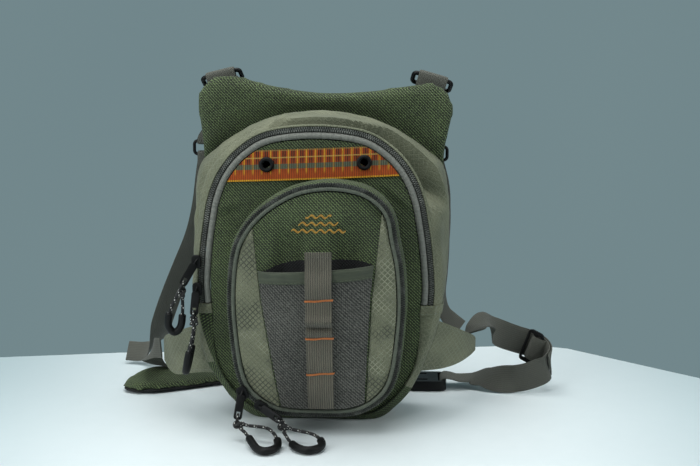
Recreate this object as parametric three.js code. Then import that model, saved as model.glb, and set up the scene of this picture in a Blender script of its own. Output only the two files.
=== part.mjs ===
// A chest pack standing on its base: a zipped compartment on a padded back panel with two horns,
// an egg-shaped front pocket with a mesh slip pocket, side wings, a webbing harness laid out behind
// and corded zip pulls. Millimetres, +Z up, +X to the viewer's right, -Y to the front, with the
// origin in the middle of the base.

import * as THREE from "three";

// Driving dimensions
const clearance = 0.3; // between neighbouring pieces
const clothWall = 1.6;
const meshWall = 1.0;
const webbingWall = 1.5;
const wideWebbing = 25;
const sideWebbing = 20;
const daisyWidth = 20.5;
const seamDepth = 36; // y of the seam between the main gusset and the back panel
const zipDepth = -10; // y of the main gusset's front edge
const pocketDepth = -48; // y of the pocket gusset's front edge
const bodyLean = -4.5; // the compartment's front slumps this far to the left
const zipEndHeight = 98; // both ends of the main zip
const zipTape = 6.4;
const bindingWidth = 5.2;
const lowerFlange = 2.2; // width of the cloth strip below the zip ends, at the bottom
const flangeGrowsFrom = 34; // above this height the strip widens up to the zip's full width
const hemExtra = 0.6; // the slip pocket's hem is this much thicker than its mesh
const stripWall = 1.3;
const cordRadius = 1.35;
const gripRadius = 3.1;
const floorLift = 0.2; // what lies on the floor clears it by this much

// Half outlines, from the bottom centre round to the top centre
const seamRows = [
  { x: 0, z: 0 },
  { x: 46, z: 0 },
  { x: 68, z: 14 },
  { x: 85, z: 44 },
  { x: 98, z: 82 },
  { x: 105, z: 128 },
  { x: 105, z: 180 },
  { x: 100.5, z: 209 },
  { x: 87, z: 222.5 },
  { x: 68, z: 235.5 },
  { x: 38, z: 248.5 },
  { x: 0, z: 254 },
];
const zipRows = [
  { x: 0, z: 4 },
  { x: 42, z: 4 },
  { x: 66, z: 19 },
  { x: 83, z: 44 },
  { x: 94.5, z: 76 },
  { x: 99, z: 108 },
  { x: 97.5, z: 138 },
  { x: 94, z: 165 },
  { x: 89.5, z: 188 },
  { x: 80.5, z: 209 },
  { x: 64.5, z: 228 },
  { x: 40, z: 242 },
  { x: 0, z: 246.5 },
];
const pocketRows = [
  { x: 0, z: 15 },
  { x: 32, z: 17 },
  { x: 54, z: 30 },
  { x: 64.4, z: 50 },
  { x: 69.4, z: 88 },
  { x: 70.2, z: 115 },
  { x: 67.8, z: 142 },
  { x: 62, z: 163 },
  { x: 54.5, z: 178 },
  { x: 42, z: 190.3 },
  { x: 24, z: 199.6 },
  { x: 0, z: 203 },
];

// Upper edge of the back panel, from the waist over each horn to the middle
const hornRows = {
  right: [
    { x: 101.5, z: 214 },
    { x: 105.5, z: 240 },
    { x: 109.8, z: 257 },
    { x: 107, z: 268.5 },
    { x: 98, z: 277.8 },
    { x: 88, z: 280 },
    { x: 60, z: 276 },
    { x: 38, z: 272.8 },
  ],
  left: [
    { x: -104, z: 214 },
    { x: -106.6, z: 238 },
    { x: -109.9, z: 264 },
    { x: -106, z: 277.6 },
    { x: -96, z: 284.8 },
    { x: -79, z: 286.6 },
    { x: -60, z: 281.6 },
    { x: -38.6, z: 276.2 },
  ],
};
const panelTop = { x: 0, z: 271 };
const panelCentre = { x: 0, z: 140 };

// The main gusset from back to front: blend runs from the seam outline to the zip outline
const gussetRows = [
  { y: seamDepth, blend: 0, bulge: 0, lean: 0 },
  { y: 26, blend: 0.1, bulge: 4, lean: -3.5 },
  { y: 11, blend: 0.38, bulge: 5.5, lean: -6 },
  { y: -5, blend: 0.8, bulge: 4.6, lean: -5.2 },
  { y: zipDepth, blend: 1, bulge: 0, lean: bodyLean },
];
const gussetPuckers = 14; // shallow gathers round the gusset
const puckerHeight = 0.9;

// Domed fronts: the depth of the rim, the rise of the dome and the reach of its rim
const panelDome = { depth: zipDepth - 1, rise: 9, x: bodyLean, z: 125, reachX: 96, reachZ: 118 };
const pocketDome = { depth: pocketDepth - 1, rise: 11, x: 0, z: 105, reachX: 68, reachZ: 95 };

// The back panel from its front face over the rim to its rear face: share runs from the seam with
// the gusset (0) out to the rim (1), and below 0 it is a plain scale of the outline; behind is
// measured from the seam
const paddingRows = [
  { share: -0.55, behind: 0.4, puff: 0 },
  { share: 0, behind: 0.4, puff: 0 },
  { share: 0.3, behind: 0.4, puff: 0.8 },
  { share: 0.7, behind: 0.6, puff: 1 },
  { share: 0.92, behind: 1.4, puff: 0.5 },
  { share: 1, behind: 3.6, puff: 0 },
  { share: 1, behind: 7.2, puff: 0 },
  { share: 0.85, behind: 10, puff: 0 },
  { share: -0.6, behind: 12, puff: 0 },
];
const seamMargin = 3; // the padding starts this far outside the gusset's seam
const hornPuff = 6;
const hornPuffRun = 14; // the horns' padding rises over this distance from the seam
const waistHeight = 200; // above this the panel stands out past the gusset
const lowerSeamScale = 0.78; // below the waist the padding starts at this share of the outline

const group = new THREE.Group();

const finishes = {
  olive: { color: 0x4c4f38, roughness: 0.9, metalness: 0 },
  sage: { color: 0x8c9082, roughness: 0.8, metalness: 0 },
  grey: { color: 0x6c6c66, roughness: 0.85, metalness: 0 },
  mesh: { color: 0x55565a, roughness: 0.9, metalness: 0 },
  webbing: { color: 0x6a6156, roughness: 0.85, metalness: 0 },
  trim: { color: 0xb4472b, roughness: 0.85, metalness: 0 },
  tack: { color: 0xc8641e, roughness: 0.8, metalness: 0 },
  black: { color: 0x141414, roughness: 0.45, metalness: 0 },
  lining: { color: 0x1c1c1c, roughness: 0.95, metalness: 0 },
  cord: { color: 0x1d1d1d, roughness: 0.8, metalness: 0 },
  grip: { color: 0x2a2a2a, roughness: 0.6, metalness: 0 },
};

const vector = (x, y, z) => new THREE.Vector3(x, y, z);
const place = (row) => vector(row.x, row.y, row.z);
const { lerp, smoothstep, degToRad } = THREE.MathUtils;

function addPiece(name, geometry, finish) {
  const material = new THREE.MeshStandardMaterial(finishes[finish]);
  const mesh = new THREE.Mesh(geometry, material);
  mesh.name = name;
  group.add(mesh);
  return mesh;
}

// Closed solids from points and triangles

function geometryFrom(points, faces) {
  const product = new THREE.Vector3();
  let volume = 0;
  for (const [a, b, c] of faces) {
    volume += points[a].dot(product.crossVectors(points[b], points[c]));
  }
  const ordered = volume < 0 ? faces.map(([a, b, c]) => [a, c, b]) : faces;
  const geometry = new THREE.BufferGeometry().setFromPoints(points);
  geometry.setIndex(ordered.flat());
  geometry.computeVertexNormals();
  return geometry;
}

function quad(a, b, c, d) {
  return [
    [a, b, c],
    [a, c, d],
  ];
}

// A body through rings of points, with flat fans over its ends unless it closes on itself
function loft(rings, closed = false, flipped = []) {
  const size = rings[0].length;
  const points = rings.flat();
  const faces = [];
  const spans = closed ? rings.length : rings.length - 1;
  for (let i = 0; i < spans; i += 1) {
    const near = i * size;
    const far = ((i + 1) % rings.length) * size;
    for (let j = 0; j < size; j += 1) {
      const k = (j + 1) % size;
      const corners = [near + j, far + j, far + k, near + k];
      if (flipped.includes(j)) corners.push(corners.shift());
      faces.push(...quad(...corners));
    }
  }
  if (!closed) {
    const ends = [0, rings.length - 1];
    for (const end of ends) {
      const middle = points.length;
      const sum = rings[end].reduce((total, point) => total.add(point), new THREE.Vector3());
      points.push(sum.divideScalar(size));
      for (let j = 0; j < size; j += 1) {
        const a = end * size + j;
        const b = end * size + ((j + 1) % size);
        faces.push(end === 0 ? [a, b, middle] : [b, a, middle]);
      }
    }
  }
  return geometryFrom(points, faces);
}

// A wall between two grids of points; wrapped when the columns run round a loop
function shell(outer, inner, wrapped = false) {
  const rows = outer.length;
  const columns = outer[0].length;
  const points = [...outer.flat(), ...inner.flat()];
  const out = (row, column) => row * columns + (column % columns);
  const back = (row, column) => rows * columns + out(row, column);
  const spans = wrapped ? columns : columns - 1;
  const end = rows - 1;
  const edge = columns - 1;
  const faces = [];
  for (let c = 0; c < spans; c += 1) {
    for (let r = 0; r < end; r += 1) {
      faces.push(...quad(out(r, c), out(r + 1, c), out(r + 1, c + 1), out(r, c + 1)));
      faces.push(...quad(back(r, c), back(r, c + 1), back(r + 1, c + 1), back(r + 1, c)));
    }
    faces.push(...quad(out(0, c), out(0, c + 1), back(0, c + 1), back(0, c)));
    faces.push(...quad(out(end, c + 1), out(end, c), back(end, c), back(end, c + 1)));
  }
  if (!wrapped) {
    for (let r = 0; r < end; r += 1) {
      faces.push(...quad(out(r + 1, 0), out(r, 0), back(r, 0), back(r + 1, 0)));
      faces.push(...quad(out(r, edge), out(r + 1, edge), back(r + 1, edge), back(r, edge)));
    }
  }
  return geometryFrom(points, faces);
}

// Outlines in the XZ plane, counted from the bottom centre up the right side

function loopThrough(rows, count) {
  const points = rows.map((row) => vector(row.x, 0, row.z));
  const curve = new THREE.CatmullRomCurve3(points, true, "catmullrom", 0.5);
  return curve.getSpacedPoints(count).slice(0, count);
}

function mirrored(rows) {
  const left = rows.slice(1, -1).reverse();
  return [...rows, ...left.map((row) => ({ x: -row.x, z: row.z }))];
}

function inwardAt(path, index, closed) {
  const last = path.length - 1;
  const before = closed ? (index + last) % path.length : Math.max(index - 1, 0);
  const after = closed ? (index + 1) % path.length : Math.min(index + 1, last);
  const run = path[after].clone().sub(path[before]).normalize();
  return vector(-run.z, 0, run.x);
}

function inset(loop, amount) {
  return loop.map((point, index) => {
    const distance = typeof amount === "function" ? amount(point.z) : amount;
    return point.clone().addScaledVector(inwardAt(loop, index, true), distance);
  });
}

// The open stretch of a loop above or below a height, ending exactly there
function cutLoop(loop, height, above) {
  const count = loop.length;
  const at = (index) => loop[(index + count) % count];
  const kept = (index) => (above ? at(index).z > height : at(index).z < height);
  const crossing = (a, b) => a.clone().lerp(b, (height - a.z) / (b.z - a.z));
  const ringIndex = loop.map((point, index) => index);
  const start = ringIndex.find((index) => kept(index) && !kept(index - 1));
  const stretch = [crossing(at(start - 1), at(start))];
  let index = start;
  while (kept(index)) {
    stretch.push(at(index).clone());
    index += 1;
  }
  stretch.push(crossing(at(index - 1), at(index)));
  return stretch;
}

// Where a loop's right (1) or left (-1) side stands at a height
function edgeAt(loop, height, side) {
  const half = loop.length / 2;
  const walk = side > 0 ? loop.slice(0, half + 1) : [loop[0], ...loop.slice(half).reverse()];
  for (let i = 1; i < walk.length; i += 1) {
    const low = walk[i - 1];
    const high = walk[i];
    if (high.z >= height && high.z > low.z) {
      return lerp(low.x, high.x, Math.max(0, (height - low.z) / (high.z - low.z)));
    }
  }
  return walk[walk.length - 1].x;
}
const halfWidth = (loop, height) => edgeAt(loop, height, 1);

// A band whose section lies along a path: across is inward, proud is forward
function band(path, depth, shiftX, section, closed = false) {
  const rings = path.map((point, index) => {
    const inward = inwardAt(path, index, closed);
    return section(point.z).map(({ across, proud }) =>
      vector(point.x + shiftX + inward.x * across, depth - proud, point.z + inward.z * across)
    );
  });
  return loft(rings, closed);
}

// A wall over a range of heights, from a left edge to a right edge, on a front surface
function spanWall({ heights, left, right, columns, front, wall, rise = () => 0 }) {
  const outer = heights.map((height) => {
    const row = [];
    for (let c = 0; c <= columns; c += 1) {
      const x = lerp(left(height), right(height), c / columns);
      const z = height + rise(x, height);
      row.push(vector(x, front(x, z), z));
    }
    return row;
  });
  const inner = outer.map((row) => row.map((point) => point.clone().add(vector(0, wall, 0))));
  return shell(outer, inner);
}

function steps(from, to, count) {
  return Array.from({ length: count + 1 }, (unused, index) => lerp(from, to, index / count));
}

// A flat strap along rows of points; wide is the direction of its width at each row
function strap(rows, width, perRow = 3, wall = webbingWall) {
  const curve = new THREE.CatmullRomCurve3(rows.map(place), false, "centripetal");
  const total = (rows.length - 1) * perRow;
  const rings = [];
  for (let i = 0; i <= total; i += 1) {
    const along = i / total;
    const position = along * (rows.length - 1);
    const row = Math.min(Math.floor(position), rows.length - 2);
    const wide = vector(...rows[row].wide).lerp(vector(...rows[row + 1].wide), position - row);
    const run = curve.getTangent(along);
    wide.addScaledVector(run, -wide.dot(run)).normalize();
    const out = vector(0, 0, 0).crossVectors(run, wide);
    const point = curve.getPoint(along);
    const corner = (w, t) =>
      point.clone().addScaledVector(wide, (w * width) / 2).addScaledVector(out, (t * wall) / 2);
    rings.push([corner(-1, -1), corner(1, -1), corner(1, 1), corner(-1, 1)]);
  }
  const upperFace = 2; // split the other way, so that both faces of a twisted strap bend alike
  return loft(rings, false, [upperFace]);
}

function pointRow(point) {
  return { x: point.x, y: point.y, z: point.z };
}

// Rows of a strap turning half round a bar, from one side over to the other
function turnRows(bar, radius, side, over, wide, count = 4) {
  return Array.from({ length: count + 1 }, (unused, index) => {
    const angle = (Math.PI * index) / count;
    const point = bar
      .clone()
      .addScaledVector(side, Math.cos(angle) * radius)
      .addScaledVector(over, Math.sin(angle) * radius);
    return { x: point.x, y: point.y, z: point.z, wide };
  });
}

// A rectangular ring of round wire, with rounded corners
function wireRing({ centre, long, short, longAxis, shortAxis, radius }) {
  const corner = 3.2;
  const cornerSteps = 3;
  const sides = 6;
  const normal = vector(0, 0, 0).crossVectors(longAxis, shortAxis).normalize();
  const rings = [];
  const signs = [[1, 1], [-1, 1], [-1, -1], [1, -1]];
  signs.forEach(([signLong, signShort], index) => {
    for (let i = 0; i < cornerSteps; i += 1) {
      const angle = (Math.PI / 2) * (index + i / (cornerSteps - 1));
      const out = longAxis
        .clone()
        .multiplyScalar(Math.cos(angle))
        .addScaledVector(shortAxis, Math.sin(angle));
      const point = centre
        .clone()
        .addScaledVector(longAxis, signLong * (long / 2 - corner))
        .addScaledVector(shortAxis, signShort * (short / 2 - corner))
        .addScaledVector(out, corner);
      rings.push(
        Array.from({ length: sides }, (unused, side) => {
          const turn = (2 * Math.PI * side) / sides;
          return point
            .clone()
            .addScaledVector(out, Math.cos(turn) * radius)
            .addScaledVector(normal, Math.sin(turn) * radius);
        })
      );
    }
  });
  return loft(rings, true);
}

// Sampled outlines
const seamLoop = loopThrough(mirrored(seamRows), 56);
const zipLoop = loopThrough(mirrored(zipRows), 56);
const pocketLoop = loopThrough(mirrored(pocketRows), 44);

// The pocket's top slumps to the right, its foot a little to the left
const pocketSlump = { foot: -1.2, top: 9.8, from: 150, to: 205 };
function pocketLean(height) {
  const { foot, top, from, to } = pocketSlump;
  return lerp(foot, top, smoothstep(height, from, to));
}
function leaned(loop) {
  return loop.map((point) => point.clone().add(vector(pocketLean(point.z), 0, 0)));
}

function flangeAt(height) {
  const full = zipTape + bindingWidth + 2 * clearance;
  return lerp(lowerFlange, full, smoothstep(height, flangeGrowsFrom, zipEndHeight));
}
const panelLoop = inset(zipLoop, (height) => flangeAt(height) + clearance);

// Front surfaces as depths over X and Z
function domeFront(dome, x, z) {
  const across = (x - dome.x) / dome.reachX;
  const up = (z - dome.z) / dome.reachZ;
  return dome.depth - dome.rise * (1 - across * across - up * up);
}
const panelFront = (x, z) => domeFront(panelDome, x, z);
const pocketFront = (x, z) => domeFront(pocketDome, x, z);

// Back panel

function radiusTowards(loop, angle) {
  let best = loop[0];
  let nearest = Infinity;
  for (const point of loop) {
    const turn = Math.atan2(point.z - panelCentre.z, point.x - panelCentre.x);
    const miss = Math.abs(Math.atan2(Math.sin(turn - angle), Math.cos(turn - angle)));
    if (miss < nearest) {
      nearest = miss;
      best = point;
    }
  }
  return Math.hypot(best.x - panelCentre.x, best.z - panelCentre.z);
}

function backPanel() {
  const side = seamRows.slice(1).filter((row) => row.z < waistHeight);
  const leftSide = [...side].reverse().map((row) => ({ x: -row.x, z: row.z }));
  const rows = [
    seamRows[0],
    ...side,
    ...hornRows.right,
    panelTop,
    ...[...hornRows.left].reverse(),
    ...leftSide,
  ];
  const outline = loopThrough(rows, 56);
  const fineSeam = loopThrough(mirrored(seamRows), 200);
  const rings = paddingRows.map(({ share, behind, puff }) =>
    outline.map((point) => {
      const rise = Math.max(point.z, 0) - panelCentre.z;
      const run = point.x - panelCentre.x;
      const reach = Math.hypot(run, rise);
      const above = point.z > waistHeight;
      const seamReach = radiusTowards(fineSeam, Math.atan2(rise, run)) + seamMargin;
      const seamScale = above ? seamReach / reach : lowerSeamScale;
      const scale = share < 0 ? -share : lerp(seamScale, 1, share);
      const grown = smoothstep(reach - seamReach, 0, hornPuffRun);
      const lift = above ? puff * hornPuff * grown : 0;
      const y = seamDepth + behind - lift;
      return vector(panelCentre.x + run * scale, y, panelCentre.z + rise * scale);
    })
  );
  return loft(rings);
}
addPiece("back_panel", backPanel(), "olive");

// Main compartment

function gussetGrid(wall) {
  return gussetRows.map(({ y, blend, bulge, lean }) => {
    const blended = seamLoop.map((point, index) => point.clone().lerp(zipLoop[index], blend));
    return blended.map((point, index) => {
      const inward = inwardAt(blended, index, true);
      const turn = (2 * Math.PI * gussetPuckers * index) / blended.length;
      const pucker = bulge > 0 ? puckerHeight * Math.sin(turn) : 0;
      const out = bulge + pucker;
      const z = Math.max(0, point.z - inward.z * out);
      return vector(point.x + lean - inward.x * (out - wall), y, z + inward.z * wall);
    });
  });
}
addPiece("main_gusset", shell(gussetGrid(0), gussetGrid(clothWall), true), "sage");

const zipPath = cutLoop(zipLoop, zipEndHeight + clearance, true);
const lowerPath = cutLoop(zipLoop, zipEndHeight - clearance, false);

function zipSection() {
  return [
    { across: 0.2, proud: clearance },
    { across: 0.2, proud: 1.2 },
    { across: 2.2, proud: 2.4 },
    { across: 4.6, proud: 2.4 },
    { across: zipTape, proud: 1.2 },
    { across: zipTape, proud: clearance },
  ];
}
addPiece("main_zip", band(zipPath, zipDepth, bodyLean, zipSection), "grey");

function bindingSection() {
  const start = zipTape + clearance;
  return [
    { across: start, proud: clearance },
    { across: start, proud: 1.6 },
    { across: start + bindingWidth / 2, proud: 3 },
    { across: start + bindingWidth, proud: 1.6 },
    { across: start + bindingWidth, proud: clearance },
  ];
}
addPiece("panel_binding", band(zipPath, zipDepth, bodyLean, bindingSection), "grey");

function lowerSection(height) {
  const width = flangeAt(height) - clearance;
  return [
    { across: 0.2, proud: clearance },
    { across: 0.2, proud: clearance + stripWall },
    { across: width, proud: clearance + stripWall },
    { across: width, proud: clearance },
  ];
}
addPiece("lower_strip", band(lowerPath, zipDepth, bodyLean, lowerSection), "sage");

const panelHalf = (height) => halfWidth(panelLoop, height);
const panelHeights = [7, 12, 22, 34, 50, 72, 98, 126, 154, 180, 200, 214, 223, 229, 232.4, 233.8];
addPiece(
  "front_panel",
  spanWall({
    heights: panelHeights,
    left: (height) => bodyLean - panelHalf(height),
    right: (height) => bodyLean + panelHalf(height),
    columns: 8,
    front: panelFront,
    wall: clothWall,
  }),
  "olive"
);

const trim = { low: 202.4, high: 227, tilt: 0.04, wall: 1 };
const trimFront = (x, z) => panelFront(x, z) - clearance - trim.wall;
// The band's ends follow the panel's edge at their own height
const trimReach = (height, side) => panelHalf(height + side * trim.tilt * panelHalf(height));
addPiece(
  "trim_band",
  spanWall({
    heights: steps(trim.low, trim.high, 3),
    left: (height) => bodyLean - trimReach(height, -1),
    right: (height) => bodyLean + trimReach(height, 1),
    columns: 8,
    front: trimFront,
    wall: trim.wall,
    rise: (x) => trim.tilt * (x - bodyLean),
  }),
  "trim"
);

const eyelets = [
  { name: "eyelet_left", x: -43.4, z: 214 },
  { name: "eyelet_right", x: 35.3, z: 216 },
];
const eyeletLift = 1.2; // clears the band's curve
const eyeletProfile = [
  { radius: 3, height: 0 },
  { radius: 6, height: 0 },
  { radius: 5.6, height: 1.2 },
  { radius: 4.2, height: 1.7 },
  { radius: 3, height: 1.2 },
  { radius: 3, height: 0 },
];
for (const { name, x, z } of eyelets) {
  const profile = eyeletProfile.map(({ radius, height }) => new THREE.Vector2(radius, height));
  const mesh = addPiece(name, new THREE.LatheGeometry(profile, 14), "black");
  mesh.rotation.x = Math.PI;
  mesh.position.set(x, trimFront(x, z) - eyeletLift, z);
}

// Front pocket

// The pocket's gusset from the front panel out to its zip
const pocketBaseRows = [
  { depth: 0, outset: -2.5 },
  { depth: 0.5, outset: 1.5 },
  { depth: 1, outset: 0 },
];
function pocketGrid(wall) {
  const outline = leaned(pocketLoop);
  const base = inset(outline, -pocketBaseRows[0].outset);
  return pocketBaseRows.map(({ depth, outset }) => {
    const loop = inset(outline, wall - outset);
    return loop.map((point, index) => {
      const start = panelFront(base[index].x, base[index].z) - 2 * clearance;
      return vector(point.x, lerp(start, pocketDepth, depth), point.z);
    });
  });
}
addPiece("pocket_gusset", shell(pocketGrid(0), pocketGrid(clothWall), true), "olive");
addPiece("pocket_zip", band(leaned(pocketLoop), pocketDepth, 0, zipSection, true), "grey");

const faceLoop = inset(leaned(pocketLoop), zipTape + 2 * clearance);
const faceEdge = (height, side) => edgeAt(faceLoop, height, side);
const seamFoot = { half: 34.5, z: 26 };
const seamSlope = 0.108; // the face's two seams spread this much for each step up
const seamHalf = (height) => seamFoot.half + (height - seamFoot.z) * seamSlope;
const seamDrift = { from: 100, share: 0.052, top: -0.7 }; // the seams wander to the right at their foot
const seamMid = (height) => Math.max(seamDrift.top, (seamDrift.from - height) * seamDrift.share);
const seamEdge = (height, side) => seamMid(height) + side * seamHalf(height);

addPiece(
  "pocket_centre",
  spanWall({
    heights: [24.3, 40, 60, 80, 100, 120, 140, 158, 171, 181, 189, 193.5],
    left: (height) => Math.max(seamEdge(height, -1), faceEdge(height, -1)) + clearance / 2,
    right: (height) => Math.min(seamEdge(height, 1), faceEdge(height, 1)) - clearance / 2,
    columns: 8,
    front: pocketFront,
    wall: clothWall,
  }),
  "olive"
);

for (const [name, side] of [["left", -1], ["right", 1]]) {
  const inner = (height) => seamEdge(height, side) + (side * clearance) / 2;
  const outer = (height) => faceEdge(height, side);
  addPiece(
    `pocket_side_${name}`,
    spanWall({
      heights: [30, 42, 60, 82, 106, 130, 150, 162],
      left: side < 0 ? outer : inner,
      right: side < 0 ? inner : outer,
      columns: 2,
      front: pocketFront,
      wall: clothWall,
    }),
    "sage"
  );
}

// Mesh slip pocket: sewn down at its sides and foot, gaping at its mouth
const slip = { foot: 27, hem: 127, mouth: 137, gape: 10, tilt: 0.062 };
const slipSeam = 1.2; // the slip pocket's edges lie this far inside the face's seams
const slipHalf = (height) => seamHalf(height) - slipSeam;
function slipShare(z) {
  return THREE.MathUtils.clamp((z - slip.foot) / (slip.mouth - slip.foot), 0, 1);
}
const slipRise = (x, height) => slip.tilt * x * slipShare(height);
function slipFront(x, z) {
  const across = Math.min(1, Math.abs(x - seamMid(z)) / seamHalf(z));
  const open = (1 - across ** 4) * slipShare(z) ** 1.4;
  return pocketFront(x, z) - clearance - meshWall - slip.gape * open;
}
const slipEdges = {
  left: (height) => seamMid(height) - slipHalf(height),
  right: (height) => seamMid(height) + slipHalf(height),
  columns: 8,
};
addPiece(
  "mesh_pocket",
  spanWall({
    ...slipEdges,
    heights: [...steps(slip.foot, 110, 5), slip.hem],
    front: slipFront,
    wall: meshWall,
    rise: slipRise,
  }),
  "mesh"
);
addPiece(
  "mesh_hem",
  spanWall({
    ...slipEdges,
    heights: steps(slip.hem + clearance, slip.mouth, 1),
    front: (x, z) => slipFront(x, z) - hemExtra,
    wall: meshWall + hemExtra,
    rise: slipRise,
  }),
  "olive"
);

// Daisy strap: slack between its bar tacks
const daisy = { top: 152, foot: 24, topX: 2.6, footX: 3.4, slack: 3, carriedFrom: 116.5 };
const tackHeights = [114.2, 83.6, 54];
const daisyStops = [slip.mouth, ...tackHeights, daisy.foot];
const daisyX = (z) => lerp(daisy.footX, daisy.topX, (z - daisy.foot) / (daisy.top - daisy.foot));
function daisySlack(z) {
  for (let i = 1; i < daisyStops.length; i += 1) {
    const [high, low] = [daisyStops[i - 1], daisyStops[i]];
    if (z <= high && z >= low) {
      return daisy.slack * Math.sin((Math.PI * (high - z)) / (high - low));
    }
  }
  return 0;
}
function daisyDepth(z) {
  const carried = Math.min(slipFront(daisyX(z), Math.min(z, slip.mouth)), slipFront(0, slip.hem));
  const behind = z > daisy.carriedFrom ? carried : slipFront(daisyX(z), z);
  return behind - hemExtra - clearance - webbingWall / 2 - daisySlack(z);
}
const daisyHeights = [
  ...steps(daisy.top, slip.mouth, 2),
  ...[131, 125, 119],
  ...steps(tackHeights[0], tackHeights[1], 4),
  ...steps(75, tackHeights[2], 3),
  ...[45, 38, 31],
  daisy.foot,
];
const daisyRows = daisyHeights.map((z) => ({
  x: daisyX(z),
  y: daisyDepth(z),
  z,
  wide: [1, 0, 0],
}));
addPiece("daisy_strap", strap(daisyRows, daisyWidth, 1), "webbing");

const tack = { width: 23, height: 1.8, wall: 0.9, lift: 0.9 };
tackHeights.forEach((z, index) => {
  const box = new THREE.BoxGeometry(tack.width, tack.wall, tack.height);
  const mesh = addPiece(`bar_tack_${index + 1}`, box, "tack");
  const front = daisyDepth(z) - webbingWall / 2 - tack.lift - tack.wall / 2;
  mesh.position.set(daisyX(z), front, z);
});

// Wings: tapered cloth from the gusset's front edge out to the belt ends
const wingRows = {
  left: { side: -1, off: 10.2, low: 37, high: 78, tip: { x: -144, y: 42, low: 33, high: 57 } },
  right: { side: 1, off: 8, low: 41, high: 84, tip: { x: 131, y: 50, low: 43, high: 58 } },
};
const wingWall = 2.4;
const wingBulge = 5;
const wingSag = 7; // the lower edge hangs this far below a straight line
const wingRootDepth = -3;
const wingBlend = 0.75; // where the root lies between the seam's and the zip's outlines
const wingOut = { across: 0.6, forward: 0.8 }; // which way the cloth faces
for (const [name, { side, off, low, high, tip }] of Object.entries(wingRows)) {
  const share = [0, 0.25, 0.5, 0.75, 1];
  const rootX = (z) => {
    const half = lerp(halfWidth(seamLoop, z), halfWidth(zipLoop, z), wingBlend);
    return side * (half + off) + bodyLean;
  };
  const grid = steps(0, 1, 3).map((up) => {
    const rootZ = lerp(low, high, up);
    const root = vector(rootX(rootZ), wingRootDepth, rootZ);
    const end = vector(tip.x, tip.y, lerp(tip.low, tip.high, up));
    return share.map((along) => {
      const bow = wingBulge * Math.sin(Math.PI * along);
      const out = vector(side * wingOut.across, -wingOut.forward, 0);
      const sag = wingSag * (1 - up) * Math.sin(Math.PI * along * along);
      const point = root.clone().lerp(end, along).addScaledVector(out, bow);
      return point.sub(vector(0, 0, sag));
    });
  });
  const through = vector(-side * wingOut.across, wingOut.forward, 0).multiplyScalar(wingWall);
  const inner = grid.map((row) => row.map((point) => point.clone().add(through)));
  addPiece(`wing_${name}`, shell(grid, inner), "sage");
}

// Horns: a webbing loop behind each holds a ring at its top, and a shoulder strap hangs from the ring
const ringWire = 1.4;
const turnRadius = ringWire + clearance + webbingWall / 2;
const horns = [
  { name: "left", x: -91, z: 286.3, tilt: -13.5, neckX: -70, footX: -62 },
  { name: "right", x: 91.3, z: 283.2, tilt: 16, neckX: 58, footX: 30 },
];
const hornWire = 1.9;
const hornTurn = hornWire + clearance + webbingWall / 2;
const hornSeat = { depth: 52.3, sewnRise: -10, rearBack: 10, rearRise: -8 };
const strapDrop = { front: -14, rear: -16 }; // the shoulder strap's two legs below its bar
const hornRingSpare = 8; // the ring is this much longer than the webbing is wide
const padTopLift = 12.4; // straps lying on the shoulder pad
const back = vector(0, 1, 0);
for (const { name, x, z, tilt, neckX, footX } of horns) {
  const angle = degToRad(tilt);
  const along = vector(Math.cos(angle), 0, -Math.sin(angle));
  const up = vector(Math.sin(angle), 0, Math.cos(angle));
  const wide = along.toArray();
  const root = vector(x, hornSeat.depth, z);
  const at = (y, rise) => root.clone().addScaledVector(back, y).addScaledVector(up, rise);
  const row = (y, rise) => ({ ...pointRow(at(y, rise)), wide });
  const frontBar = at(0, 0);
  const rearBar = at(hornSeat.rearBack, hornSeat.rearRise);
  const loopRows = [
    row(-hornTurn, hornSeat.sewnRise),
    ...turnRows(frontBar, hornTurn, vector(0, -1, 0), up, wide),
    row(hornTurn, hornSeat.sewnRise),
  ];
  addPiece(`horn_loop_${name}`, strap(loopRows, wideWebbing, 2), "webbing");

  const shortAxis = rearBar.clone().sub(frontBar);
  const short = shortAxis.length();
  shortAxis.normalize();
  addPiece(
    `horn_ring_${name}`,
    wireRing({
      centre: frontBar.clone().lerp(rearBar, 0.5),
      long: wideWebbing + hornRingSpare,
      short,
      longAxis: along,
      shortAxis,
      radius: hornWire,
    }),
    "black"
  );

  const flat = [1, 0, 0];
  const strapRows = [
    row(hornSeat.rearBack - hornTurn, hornSeat.rearRise + strapDrop.front),
    ...turnRows(rearBar, hornTurn, vector(0, -1, 0), up, wide),
    row(hornSeat.rearBack + hornTurn + 1, hornSeat.rearRise + strapDrop.rear),
    { x: neckX, y: 56.5, z: 226, wide: flat },
    { x: lerp(neckX, footX, 0.5), y: 55, z: 130, wide: flat },
    { x: lerp(neckX, footX, 0.9), y: 58, z: 45, wide: flat },
    { x: footX, y: 68, z: 20, wide: flat },
    { x: footX, y: 88, z: padTopLift + 1, wide: flat },
    { x: footX, y: 116, z: padTopLift, wide: flat },
  ];
  addPiece(`shoulder_strap_${name}`, strap(strapRows, wideWebbing, 2), "webbing");
}

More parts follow.
